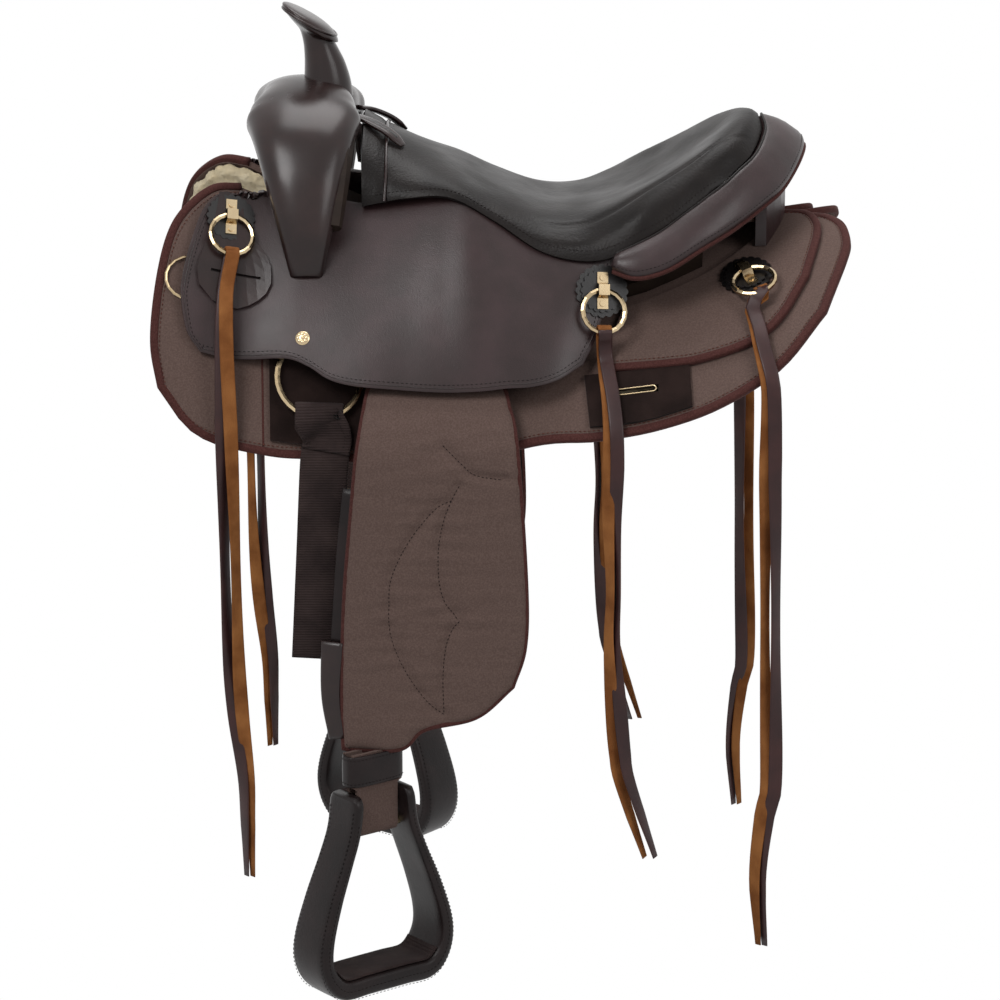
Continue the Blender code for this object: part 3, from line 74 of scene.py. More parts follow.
Point = tuple[float, ...]
Line = Sequence[Point]
Place = Callable[[float, float], Vector]


class Side(Enum):
    """A side of the saddle, as the rider sits."""

    LEFT = "left"
    RIGHT = "right"

    @property
    def sign(self) -> int:
        """Sign of Y on this side."""
        return -1 if self is Side.LEFT else 1


class Pattern(Enum):
    """What a finish's surface is made of."""

    GRAIN = "grain"
    WEAVE = "weave"
    NAP = "nap"
    CURLS = "curls"
    METAL = "metal"
    RIBS = "ribs"
    THREAD = "thread"
    TIMBER = "timber"


@dataclass(frozen=True)
class Finish:
    """One finish of the saddle: its colours and the pattern of its surface.

    Colours are linear. The grain is the size of the pattern's features in metres, and the
    relief is how far it stands out, in metres.
    """

    name: str
    pattern: Pattern
    colour: Point
    second: Point
    roughness: float
    grain: float
    relief: float
    coat: float = 0.0
    sheen: float = 0.0
    shine: float = 0.5

    def _mixed_colour(self, tree: bpy.types.NodeTree, coords: bpy.types.NodeSocket,
                      size: float, low: float, high: float) -> bpy.types.NodeSocket:
        """Mixes the two colours by a soft noise.

        Args:
            tree: node tree to build in.
            coords: the coordinates that the noise reads.
            size: feature size in metres.
            low: noise value at which the first colour is full.
            high: noise value at which the second colour is full.

        Returns:
            The mixed colour's socket.
        """
        blot = tree.nodes.new("ShaderNodeTexNoise")
        blot.inputs["Scale"].default_value = 1 / size
        blot.inputs["Detail"].default_value = 4
        tree.links.new(coords, blot.inputs["Vector"])
        spread = tree.nodes.new("ShaderNodeMapRange")
        spread.inputs["From Min"].default_value = low
        spread.inputs["From Max"].default_value = high
        tree.links.new(blot.outputs["Fac"], spread.inputs["Value"])
        mix = tree.nodes.new("ShaderNodeMix")
        mix.data_type = "RGBA"
        mix.inputs["A"].default_value = (*self.colour, 1)
        mix.inputs["B"].default_value = (*self.second, 1)
        tree.links.new(spread.outputs["Result"], mix.inputs["Factor"])
        return mix.outputs["Result"]

    def _height(self, tree: bpy.types.NodeTree,
                coords: bpy.types.NodeSocket) -> bpy.types.NodeSocket | None:
        """Builds the pattern's height.

        Args:
            tree: node tree to build in.
            coords: the coordinates that the pattern reads.

        Returns:
            The height's socket, from 0 to about 1, or None where the surface is smooth.
        """
        if self.pattern in (Pattern.GRAIN, Pattern.NAP, Pattern.CURLS):
            cells = tree.nodes.new("ShaderNodeTexVoronoi")
            cells.feature = "SMOOTH_F1"
            cells.inputs["Scale"].default_value = 1 / self.grain
            tree.links.new(coords, cells.inputs["Vector"])
            folds = tree.nodes.new("ShaderNodeTexNoise")
            folds.inputs["Scale"].default_value = 0.3 / self.grain
            folds.inputs["Detail"].default_value = 6
            tree.links.new(coords, folds.inputs["Vector"])
            both = tree.nodes.new("ShaderNodeMath")
            both.operation = "ADD"
            tree.links.new(cells.outputs["Distance"], both.inputs[0])
            tree.links.new(folds.outputs["Fac"], both.inputs[1])
            return both.outputs["Value"]
        if self.pattern in (Pattern.WEAVE, Pattern.RIBS, Pattern.THREAD):
            return self._threads(tree, coords)
        if self.pattern is Pattern.TIMBER:
            rings = tree.nodes.new("ShaderNodeTexNoise")
            rings.inputs["Scale"].default_value = 1 / self.grain
            tree.links.new(coords, rings.inputs["Vector"])
            return rings.outputs["Fac"]
        return None

    def _threads(self, tree: bpy.types.NodeTree,
                 coords: bpy.types.NodeSocket) -> bpy.types.NodeSocket:
        """Builds crossing threads, or one set of ribs across the X direction.

        Args:
            tree: node tree to build in.
            coords: the coordinates that the threads follow.

        Returns:
            The height's socket.
        """
        waves = []
        for direction in ("Z", "X"):
            wave = tree.nodes.new("ShaderNodeTexWave")
            wave.wave_type = "BANDS"
            wave.bands_direction = direction
            wave.inputs["Scale"].default_value = 0.314 / self.grain
            wave.inputs["Distortion"].default_value = 0.6
            wave.inputs["Detail"].default_value = 1
            tree.links.new(coords, wave.inputs["Vector"])
            waves.append(wave)
        if self.pattern is not Pattern.WEAVE:
            return waves[0].outputs["Fac"]
        both = tree.nodes.new("ShaderNodeMath")
        both.operation = "MAXIMUM"
        tree.links.new(waves[0].outputs["Fac"], both.inputs[0])
        tree.links.new(waves[1].outputs["Fac"], both.inputs[1])
        return both.outputs["Value"]

    def build(self) -> bpy.types.Material:
        """Makes the finish's material.

        Returns:
            The new material.
        """
        made = bpy.data.materials.new(self.name)
        made.use_nodes = True
        tree = made.node_tree
        shader = tree.nodes["Principled BSDF"]
        coords = tree.nodes.new("ShaderNodeTexCoord").outputs["Object"]
        size = 0.035 if self.pattern is not Pattern.WEAVE else 0.0016
        colour = self._mixed_colour(tree, coords, size, 0.38, 0.66)
        tree.links.new(colour, shader.inputs["Base Color"])
        shader.inputs["Roughness"].default_value = self.roughness
        shader.inputs["Metallic"].default_value = 1 if self.pattern is Pattern.METAL else 0
        shader.inputs["Specular IOR Level"].default_value = self.shine
        shader.inputs["Coat Weight"].default_value = self.coat
        shader.inputs["Coat Roughness"].default_value = 0.3
        shader.inputs["Sheen Weight"].default_value = self.sheen
        shader.inputs["Sheen Roughness"].default_value = 0.5
        if self.pattern in (Pattern.GRAIN, Pattern.METAL):
            self._worn_roughness(tree, coords, shader)
        height = self._height(tree, coords)
        if height is not None:
            bump = tree.nodes.new("ShaderNodeBump")
            bump.inputs["Strength"].default_value = 1.0
            bump.inputs["Distance"].default_value = self.relief
            tree.links.new(height, bump.inputs["Height"])
            tree.links.new(bump.outputs["Normal"], shader.inputs["Normal"])
        return made

    def _worn_roughness(self, tree: bpy.types.NodeTree, coords: bpy.types.NodeSocket,
                        shader: bpy.types.Node) -> None:
        """Varies the roughness, as handling does.

        Args:
            tree: node tree to build in.
            coords: the coordinates that the wear reads.
            shader: the shader whose roughness varies.
        """
        wear = tree.nodes.new("ShaderNodeTexNoise")
        wear.inputs["Scale"].default_value = 22
        wear.inputs["Detail"].default_value = 5
        tree.links.new(coords, wear.inputs["Vector"])
        spread = tree.nodes.new("ShaderNodeMapRange")
        spread.inputs["From Min"].default_value = 0.3
        spread.inputs["From Max"].default_value = 0.7
        spread.inputs["To Min"].default_value = self.roughness * 0.85
        spread.inputs["To Max"].default_value = min(1.0, self.roughness * 1.2)
        tree.links.new(wear.outputs["Fac"], spread.inputs["Value"])
        tree.links.new(spread.outputs["Result"], shader.inputs["Roughness"])


PANEL_LEATHER = Finish("panel leather", Pattern.GRAIN, (0.024, 0.0125, 0.0125),
                       (0.038, 0.020, 0.021), 0.36, 0.0011, 0.00010, coat=0.12, shine=0.3)
COVER_LEATHER = Finish("stirrup leather cover", Pattern.GRAIN, (0.010, 0.0065, 0.0065),
                       (0.018, 0.011, 0.011), 0.36, 0.0013, 0.00012, coat=0.08, shine=0.16)
MOULDED_LEATHER = Finish("moulded leather", Pattern.GRAIN, (0.017, 0.0085, 0.008),
                         (0.027, 0.013, 0.012), 0.24, 0.0012, 0.00005, coat=0.3, shine=0.2)
SEAT_LEATHER = Finish("seat leather", Pattern.GRAIN, (0.0065, 0.0048, 0.0044),
                      (0.011, 0.008, 0.0072), 0.40, 0.0022, 0.00022, coat=0.03, shine=0.14)
BLACK_LEATHER = Finish("black leather", Pattern.GRAIN, (0.004, 0.003, 0.003),
                       (0.008, 0.006, 0.006), 0.34, 0.0012, 0.00008, coat=0.15, shine=0.4)
SUEDE = Finish("suede", Pattern.NAP, (0.014, 0.008, 0.007), (0.026, 0.015, 0.013), 0.95, 0.0008,
               0.00012, sheen=0.08, shine=0.1)
CORDURA = Finish("woven nylon", Pattern.WEAVE, (0.122, 0.080, 0.068), (0.158, 0.107, 0.092), 0.9,
                 0.0012, 0.00012, sheen=0.04, shine=0.12)
BINDING = Finish("binding tape", Pattern.WEAVE, (0.062, 0.021, 0.018), (0.094, 0.034, 0.030),
                 0.85, 0.0010, 0.00010, sheen=0.04, shine=0.15)
FLEECE_FINISH = Finish("fleece", Pattern.CURLS, (0.66, 0.55, 0.36), (0.82, 0.73, 0.54), 0.95, 0.006,
                       0.0022, sheen=0.1, shine=0.1)
METAL = Finish("pale brass", Pattern.METAL, (0.46, 0.35, 0.21), (0.62, 0.49, 0.31), 0.22, 0.01, 0.0)
WEBBING = Finish("webbing", Pattern.RIBS, (0.022, 0.0135, 0.013), (0.046, 0.030, 0.028), 0.8,
                 0.0026, 0.0006, sheen=0.04, shine=0.15)
LACE_GRAIN = Finish("lace grain side", Pattern.GRAIN, (0.026, 0.0085, 0.0085),
                    (0.045, 0.015, 0.014), 0.42, 0.0009, 0.00008, coat=0.05, shine=0.3)
LACE_FLESH = Finish("lace flesh side", Pattern.NAP, (0.20, 0.070, 0.020), (0.36, 0.145, 0.045),
                    0.9, 0.0009, 0.00016, shine=0.15)
THREAD = Finish("dark thread", Pattern.THREAD, (0.006, 0.003, 0.003), (0.012, 0.007, 0.006), 0.7,
                0.0006, 0.00008, shine=0.2)
RUST_THREAD = Finish("reddish thread", Pattern.THREAD, (0.10, 0.030, 0.022), (0.14, 0.045, 0.03),
                     0.7, 0.0006, 0.00008, shine=0.2)
TIMBER = Finish("stained wood", Pattern.TIMBER, (0.012, 0.007, 0.005), (0.022, 0.013, 0.009), 0.6,
                0.004, 0.0002, shine=0.2)


class Finishes:
    """Builds each finish's material once."""

    def __init__(self) -> None:
        """Starts with none built."""
        self._made: dict[str, bpy.types.Material] = {}

    def get(self, finish: Finish) -> bpy.types.Material:
        """Returns the material of a finish.

        Args:
            finish: which finish.

        Returns:
            Its material.
        """
        if finish.name not in self._made:
            self._made[finish.name] = finish.build()
        return self._made[finish.name]


FINISHES = Finishes()


# The horse's back and the panels that lie on it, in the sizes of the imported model

FLEECE = 16 * MM
LAYER_GAP = 0.7 * MM
SKIRT = 6.5 * MM
REAR_JOCKEY = 6 * MM
JOCKEY = 4.5 * MM
SKIRT_LOW = FLEECE + LAYER_GAP
SKIRT_TOP = SKIRT_LOW + SKIRT
OVER_SKIRT = SKIRT_TOP + LAYER_GAP
REAR_JOCKEY_TOP = OVER_SKIRT + REAR_JOCKEY
RIGGING_TOP = OVER_SKIRT + 3.6 * MM
SIDES = (Side.LEFT, Side.RIGHT)


def smooth(points: Line, count: int) -> np.ndarray:
    """Spaces points evenly along a smooth curve.

    Args:
        points: what the curve passes through.
        count: number of steps.

    Returns:
        count + 1 points.
    """
    p = np.array(points, float)
    if len(p) == 2:
        fine = np.linspace(p[0], p[1], 65)
    else:
        ends = np.vstack([2 * p[0] - p[1], p, 2 * p[-1] - p[-2]])
        t = np.linspace(0, 1, 33)[:, None]
        runs = []
        for a, b, c, d in zip(ends[:-3], ends[1:-2], ends[2:-1], ends[3:]):
            run = b + 0.5 * t * (c - a)
            run = run + t * t * (a - 2.5 * b + 2 * c - 0.5 * d)
            run = run + t * t * t * 0.5 * (3 * (b - c) + d - a)
            runs.append(run[:-1])
        fine = np.vstack([*runs, p[-1:]])
    along = np.concatenate([[0], np.cumsum(np.linalg.norm(np.diff(fine, axis=0), axis=1))])
    at = np.linspace(0, along[-1], count + 1)
    return np.stack([np.interp(at, along, fine[:, k]) for k in range(p.shape[1])], axis=1)


class Table:
    """A smooth value read from (place, value) pairs."""

    def __init__(self, pairs: Line) -> None:
        """Fits the curve.

        Args:
            pairs: places with their values.
        """
        curve = smooth(pairs, 96)
        self._places, self._values = curve[:, 0], curve[:, 1]

    def at(self, place: float) -> float:
        """Reads the value at a place.

        Args:
            place: where.

        Returns:
            The value.
        """
        return float(np.interp(place, self._places, self._values))


def patch(top: Line, bottom: Line, front: Line, rear: Line, across: int, down: int) -> np.ndarray:
    """Fills four joined edges with a grid.

    Args:
        top: upper edge, rearwards.
        bottom: lower edge, rearwards.
        front: front edge, downwards.
        rear: rear edge, downwards.
        across: steps from front to rear.
        down: steps from top to bottom.

    Returns:
        Points indexed by [across, down].
    """
    top, bottom = smooth(top, across), smooth(bottom, across)
    front, rear = smooth(front, down), smooth(rear, down)
    u = np.linspace(0, 1, across + 1)[:, None, None]
    v = np.linspace(0, 1, down + 1)[None, :, None]
    ruled = (1 - v) * top[:, None] + v * bottom[:, None]
    ruled = ruled + (1 - u) * front[None] + u * rear[None]
    corners = (1 - u) * (1 - v) * top[0] + u * (1 - v) * top[-1]
    corners = corners + (1 - u) * v * bottom[0] + u * v * bottom[-1]
    return ruled - corners


@dataclass(frozen=True)
class Back:
    """The horse's back as the saddle's underside follows it. Angles are in degrees."""

    withers_rise: float = 155
    loin_rise: float = 20
    reach: float = 280
    ridge_slope: float = 24
    barrel_slope: float = 78
    girth: float = 420

    def ridge(self, x: float) -> float:
        """Height of the ridge.

        Args:
            x: place along the back.

        Returns:
            Height in millimetres.
        """
        if x < 0:
            return self.withers_rise * (-x / self.reach) ** 1.6
        return self.loin_rise * (x / self.reach) ** 2

    def point(self, x: float, s: float, height: float, side: Side) -> Vector:
        """Finds a point over the back.

        Args:
            x: place along the back.
            s: place down the side.
            height: height off the back in metres.
            side: which side.

        Returns:
            The point.
        """
        start = radians(self.ridge_slope - x * (0.075 if x < 0 else 0.043))
        rate = (radians(self.barrel_slope) - start) / self.girth
        slope = start + rate * s
        y = (sin(slope) - sin(start)) / rate
        z = self.ridge(x) + (cos(slope) - cos(start)) / rate
        return Vector((x * MM, side.sign * (y * MM + height * sin(slope)),
                       z * MM + height * cos(slope)))

    def frame(self, x: float, s: float, height_at: Callable[[float, float], float], side: Side,
              turn: float = 0.0) -> Matrix:
        """Frames a surface over the back.

        Args:
            x: place along the back.
            s: place down the side.
            height_at: the surface's height off the back, in metres.
            side: which side.
            turn: turn about the surface's normal, in degrees.

        Returns:
            Its frame: X along the surface, Y up it, Z outwards.
        """
        here = self.point(x, s, height_at(x, s), side)
        up = self.point(x, s - 1, height_at(x, s - 1), side) - here
        along = (self.point(x + 1, s, height_at(x + 1, s), side) - here) * -side.sign
        out = along.cross(up).normalized()
        up.normalize()
        frame = Matrix((up.cross(out), up, out)).transposed().to_4x4()
        frame.translation = here
        return frame @ Matrix.Rotation(radians(turn) * -side.sign, 4, "Z")


BACK = Back()


def to_object(name: str, bm: bmesh.types.BMesh, finish: Finish) -> bpy.types.Object:
    """Turns a bmesh into a smooth shaded piece.

    Args:
        name: the piece's name.
        bm: its mesh, which is freed.
        finish: its finish.

    Returns:
        The piece, linked to the scene.
    """
    mesh = bpy.data.meshes.new(name)
    bm.to_mesh(mesh)
    bm.free()
    mesh.shade_smooth()
    mesh.materials.append(FINISHES.get(finish))
    made = bpy.data.objects.new(name, mesh)
    bpy.context.scene.collection.objects.link(made)
    return made


@dataclass(frozen=True)
class Mounting:
    """What a piece rides on and stands for, with a slot name that nothing reads."""

    body: str
    slot: str
    replaces: tuple[str, ...] = ()

    def hold(self, piece: bpy.types.Object) -> bpy.types.Object:
        """Attaches a piece to its body and hides the parts that it replaces.

        Args:
            piece: the piece.

        Returns:
            The same piece.
        """
        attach(piece, self.body)
        if self.replaces:
            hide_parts(*self.replaces)
        return piece


@dataclass(frozen=True)
class Outline:
    """The four edges of a panel, in places on the back or on another sheet."""

    top: Line
    lower: Line
    front: Line
    rear: Line

    def grid(self, across: int, down: int, inset: float = 0.0) -> np.ndarray:
        """Fills the outline.

        Args:
            across: steps from front to rear.
            down: steps from top to bottom.
            inset: how far the edges are drawn in.

        Returns:
            Places indexed by [across, down].
        """
        grid = patch(self.top, self.lower, self.front, self.rear, across, down)
        if not inset:
            return grid
        out = grid - grid.mean(axis=(0, 1))
        length = np.linalg.norm(out, axis=2, keepdims=True)
        return grid - out / np.maximum(length, 1e-6) * inset

    def loop(self, steps: int, inset: float = 0.0, parts: str = "trbf") -> np.ndarray:
        """Walks the edges.

        Args:
            steps: steps on each edge.
            inset: how far inside the edges.
            parts: which edges, of t, r, b and f, in the order of the walk.

        Returns:
            Places along the walk.
        """
        grid = patch(self.top, self.lower, self.front, self.rear, steps, steps)
        if inset:
            grid = self._inward(grid, inset)
        ways = {"t": grid[:, 0], "r": grid[-1, :], "b": grid[::-1, -1], "f": grid[0, ::-1]}
        runs = [ways[part][:-1] for part in parts[:-1]] + [ways[parts[-1]]]
        return np.vstack(runs)

    @staticmethod
    def _inward(grid: np.ndarray, inset: float) -> np.ndarray:
        """Moves the grid's four edges inwards, square to themselves.

        Args:
            grid: places indexed by [across, down].
            inset: how far.

        Returns:
            The grid with its edges moved.
        """
        moved = grid.copy()
        middle = grid.mean(axis=(0, 1))
        for index in ((slice(None), 0), (slice(None), -1), (0, slice(None)), (-1, slice(None))):
            edge = grid[index]
            way = np.gradient(edge, axis=0)
            way /= np.maximum(np.linalg.norm(way, axis=1, keepdims=True), 1e-9)
            normal = np.stack([-way[:, 1], way[:, 0]], axis=1)
            inside = np.sum((middle - edge) * normal, axis=1, keepdims=True) > 0
            moved[index] = edge + np.where(inside, normal, -normal) * inset
        return moved


@dataclass(frozen=True)
class Sheet:
    """A closed panel with rounded edges over a grid of places.

    Steps are the grid's cells. Thickness and puff are in metres: the puff is how far the
    outer face sinks towards the edges, over the width of the rim in steps of its places.
    """

    name: str
    outline: Outline
    finish: Finish
    across: int
    down: int
    thickness: float
    rim: float = 12.0
    puff: float = 0.0
    bevel: float = 1.2 * MM
    flat_edges: str = ""

    def build(self, place: Place, outwards: Callable[[float, float], Vector],
              hole: Callable[[float, float], bool] | None = None,
              relief: Callable[[float, float], float] | None = None) -> bpy.types.Object:
        """Makes the panel.

        Args:
            place: gives the outer face's point at a place.
            outwards: gives the outer face's normal at a place.
            hole: says which places are left open.
            relief: how far the outer face rises at a place, in metres.

        Returns:
            The panel.
        """
        grid = self.outline.grid(self.across, self.down)
        edge = self._edge_distance(grid)
        bm = bmesh.new()
        bmesh.ops.create_grid(bm, x_segments=self.across, y_segments=self.down, size=0.5)
        gone = []
        for vert in bm.verts:
            i = round((vert.co.x + 0.5) * self.across)
            j = round((vert.co.y + 0.5) * self.down)
            x, s = grid[i, j]
            near = min(1.0, edge[i, j] / self.rim)
            sink = self.puff * (1 - sqrt(1 - (1 - near) ** 2))
            rise = (relief(x, s) if relief else 0.0) - sink
            vert.co = place(x, s) + outwards(x, s) * rise
            if hole and hole(x, s):
                gone.append(vert)
        bmesh.ops.delete(bm, geom=gone, context="VERTS")
        self._face_outwards(bm, grid, outwards)
        made = to_object(self.name, bm, self.finish)
        solid = made.modifiers.new("thickness", "SOLIDIFY")
        solid.thickness = self.thickness
        solid.offset = -1
        if self.bevel:
            rounded = made.modifiers.new("rounded edge", "BEVEL")
            rounded.width = self.bevel
            rounded.segments = 3
            rounded.limit_method = "ANGLE"
            rounded.angle_limit = radians(50)
        return made

    def _edge_distance(self, grid: np.ndarray) -> np.ndarray:
        """Measures each place's distance to the nearest edge that isn't flat.

        Args:
            grid: places indexed by [across, down].

        Returns:
            Distances in the units of the places.
        """
        loops = {"t": grid[:, 0], "b": grid[:, -1], "f": grid[0], "r": grid[-1]}
        rim = np.vstack([run for key, run in loops.items() if key not in self.flat_edges])
        flat = grid.reshape(-1, 2)
        return np.linalg.norm(flat[:, None] - rim[None], axis=2).min(axis=1).reshape(grid.shape[:2])

    def _face_outwards(self, bm: bmesh.types.BMesh, grid: np.ndarray,
                       outwards: Callable[[float, float], Vector]) -> None:
        """Turns the faces the way that the panel looks.

        Args:
            bm: the panel's mesh.
            grid: places indexed by [across, down].
            outwards: gives the outer face's normal at a place.
        """
        bm.normal_update()
        x, s = grid[self.across // 2, self.down // 2]
        way = outwards(x, s)
        if sum(face.normal.dot(way) for face in bm.faces) < 0:
            bmesh.ops.reverse_faces(bm, faces=bm.faces)


def tube(name: str, points: Sequence[Vector], radius: float, finish: Finish, closed: bool = False,
         sides: int = 3) -> bpy.types.Object:
    """Makes a round cord, welt or binding along points.

    Args:
        name: the piece's name.
        points: what it follows.
        radius: its radius in metres.
        finish: its finish.
        closed: whether it comes back to its start.
        sides: how round it is.

    Returns:
        The piece, a curve of one spline.
    """
    curve = bpy.data.curves.new(name, "CURVE")
    curve.dimensions = "3D"
    curve.bevel_depth = radius
    curve.bevel_resolution = sides
    curve.use_fill_caps = True
    spline = curve.splines.new("POLY")
    spline.points.add(len(points) - 1)
    spline.use_cyclic_u = closed
    spline.use_smooth = True
    for target, point in zip(spline.points, points):
        target.co = (*point, 1)
    curve.materials.append(FINISHES.get(finish))
    made = bpy.data.objects.new(name, curve)
    bpy.context.scene.collection.objects.link(made)
    return made


def stitches(name: str, runs: Sequence[Sequence[tuple[Vector, Vector]]], finish: Finish,
             length: float = 3.4 * MM, pitch: float = 4.6 * MM,
             width: float = 0.9 * MM) -> bpy.types.Object:
    """Sews along lines.

    Args:
        name: the piece's name.
        runs: lines of (point, outward normal).
        finish: the thread's finish.
        length: length of a stitch.
        pitch: from one stitch to the next.
        width: thickness of the thread.

    Returns:
        One piece with every stitch.
    """
    bm = bmesh.new()
    for run in runs:
        points = np.array([point for point, _ in run])
        normals = np.array([normal for _, normal in run])
        along = np.concatenate([[0], np.cumsum(np.linalg.norm(np.diff(points, axis=0), axis=1))])
        for at in np.arange(pitch / 2, along[-1] - length / 2, pitch):
            here, ahead, out = (
                Vector([np.interp(at + step, along, data[:, k]) for k in range(3)])
                for data, step in ((points, 0), (points, length / 2), (normals, 0))
            )
            way = (ahead - here).normalized()
            out = (out - way * out.dot(way)).normalized()
            frame = Matrix((way, out.cross(way), out)).transposed().to_4x4()
            frame.translation = here + out * width * 0.15
            scale = Matrix.Diagonal((length / 2, width / 2, width / 2, 1))
            bmesh.ops.create_icosphere(bm, subdivisions=1, radius=1, matrix=frame @ scale)
    return to_object(name, bm, finish)


@dataclass(frozen=True)
class Strip:
    """A flat or round strip of leather or webbing with rounded edges."""

    name: str
    width: float
    thickness: float
    finish: Finish
    sides: int = 12
    squareness: float = 0.45
    under: Finish | None = None

    def _frame(self, here: Vector, way: Vector, out: Vector, wide: float,
               thick: float) -> Matrix:
        """Frames a station, scaled to the strip's section.

        Args:
            here: the station.
            way: along the strip.
            out: out of its broad face.
            wide: the strip's width there.
            thick: its thickness there.

        Returns:
            The frame.
        """
        up = (out - way * out.dot(way)).normalized()
        frame = Matrix((way.cross(up), up, way)).transposed().to_4x4()
        frame.translation = here
        return frame @ Matrix.Diagonal((wide / 2, thick / 2, 1, 1))

    def build(self, points: Sequence[Vector], outs: Sequence[Vector], closed: bool = False,
              taper: int = 0, sizes: Sequence[Point] | None = None) -> bpy.types.Object:
        """Makes the strip.

        Args:
            points: its middle line.
            outs: which way its broad face looks at each point.
            closed: whether it comes back to its start.
            taper: number of stations over which the far end narrows.
            sizes: (width, thickness) at each point, where they change.

        Returns:
            The strip.
        """
        count = len(points)
        frames = []
        for k, here in enumerate(points):
            if closed:
                way = (points[(k + 1) % count] - points[k - 1]).normalized()
            else:
                way = (points[min(k + 1, count - 1)] - points[max(k - 1, 0)]).normalized()
            left = count - 1 - k
            share = 1.0 if left >= taper else 0.55 + 0.45 * left / taper
            wide, thick = sizes[k] if sizes is not None else (self.width, self.thickness)
            frames.append(self._frame(here, way, outs[k], wide * share, thick * share))
        if closed:
            frames.append(frames[0])
        bm = bmesh.new()
        ring = bmesh.ops.create_circle(bm, segments=self.sides, radius=1)["verts"]
        for vert in ring:
            vert.co.x = abs(vert.co.x) ** self.squareness * (1 if vert.co.x > 0 else -1)
            vert.co.y = abs(vert.co.y) ** self.squareness * (1 if vert.co.y > 0 else -1)
        bmesh.ops.transform(bm, matrix=frames[0], verts=ring)
        edges = list(bm.edges)
        steps = []
        for before, after in zip(frames[:-1], frames[1:]):
            made = bmesh.ops.extrude_edge_only(bm, edges=edges)["geom"]
            steps.append([item for item in made if isinstance(item, bmesh.types.BMFace)])
            verts = [item for item in made if isinstance(item, bmesh.types.BMVert)]
            edges = [item for item in made if isinstance(item, bmesh.types.BMEdge)]
            bmesh.ops.transform(bm, matrix=after @ before.inverted(), verts=verts)
        if closed:
            bmesh.ops.remove_doubles(bm, verts=bm.verts, dist=0.02 * MM)
        else:
            bmesh.ops.holes_fill(bm, edges=bm.edges, sides=self.sides)
        bmesh.ops.recalc_face_normals(bm, faces=bm.faces)
        if self.under:
            for faces, out in zip(steps, outs):
                for face in faces:
                    face.material_index = 0 if face.normal.dot(out) > 0.3 else 1
        piece = to_object(self.name, bm, self.finish)
        if self.under:
            piece.data.materials.append(FINISHES.get(self.under))
        return piece


# Sides of the saddle


JOCKEY_RUN = [
    (-320, 150, 33, 265, 33), (-290, 120, 35, 282, 30), (-250, 98, 38, 262, 34),
    (-200, 77, 56, 238, 47), (-140, 68, 75, 240, 58), (-90, 57, 98, 229, 61),
    (-60, 55, 111, 222, 62), (-30, 60, 119, 219, 61), (0, 75, 109, 216, 59),
    (30, 92, 95, 214, 55), (60, 105, 87, 207, 48), (90, 111, 83, 180, 41),
    (120, 112, 82, 150, 38),
]


class JockeyHeight:
    """Height off the back of the side panel's outer face."""

    def __init__(self) -> None:
        """Fits the heights along the saddle."""
        self._tables = [Table([(row[0], row[k]) for row in JOCKEY_RUN]) for k in (1, 2, 3, 4)]

    def at(self, x: float, s: float) -> float:
        """Reads the height.

        Args:
            x: place along the back.
            s: place down the side.

        Returns:
            Height in metres.
        """
        top_s, top_h, low_s, low_h = (table.at(x) for table in self._tables)
        return (top_h + (low_h - top_h) * (s - top_s) / (low_s - top_s)) * MM


JOCKEY_HEIGHT = JockeyHeight()


@dataclass(frozen=True)
class OnBack:
    """A surface that lies over the back at a height."""

    side: Side
    height_at: Callable[[float, float], float]

    def point(self, x: float, s: float) -> Vector:
        """The surface's point at a place."""
        return BACK.point(x, s, self.height_at(x, s), self.side)

    def out(self, x: float, s: float) -> Vector:
        """The surface's normal at a place.

        Args:
            x: place along the back.
            s: place down the side.

        Returns:
            A unit vector away from the horse.
        """
        here = self.point(x, s)
        along = self.point(x + 2, s) - here
        down = self.point(x, s + 2) - here
        way = along.cross(down).normalized()
        off = BACK.point(x, s, self.height_at(x, s) + 0.01, self.side) - here
        return way if way.dot(off) > 0 else -way

    def line(self, places: np.ndarray, lift: float = 0.0) -> list[tuple[Vector, Vector]]:
        """Points and normals along places.

        Args:
            places: places in order.
            lift: how far over the surface, in metres.

        Returns:
            Pairs of point and normal.
        """
        made = []
        for x, s in places:
            out = self.out(x, s)
            made.append((self.point(x, s) + out * lift, out))
        return made


def bind(name: str, line: Sequence[tuple[Vector, Vector]], width: float, thickness: float,
         finish: Finish, closed: bool) -> bpy.types.Object:
    """Lays a flat strip along a line.

    Args:
        name: the piece's name.
        line: pairs of point and normal.
        width: the strip's width.
        thickness: its thickness.
        finish: its finish.
        closed: whether it comes back to its start.

    Returns:
        The strip.
    """
    return Strip(name, width, thickness, finish).build([p for p, _ in line], [n for _, n in line],
                                                       closed)


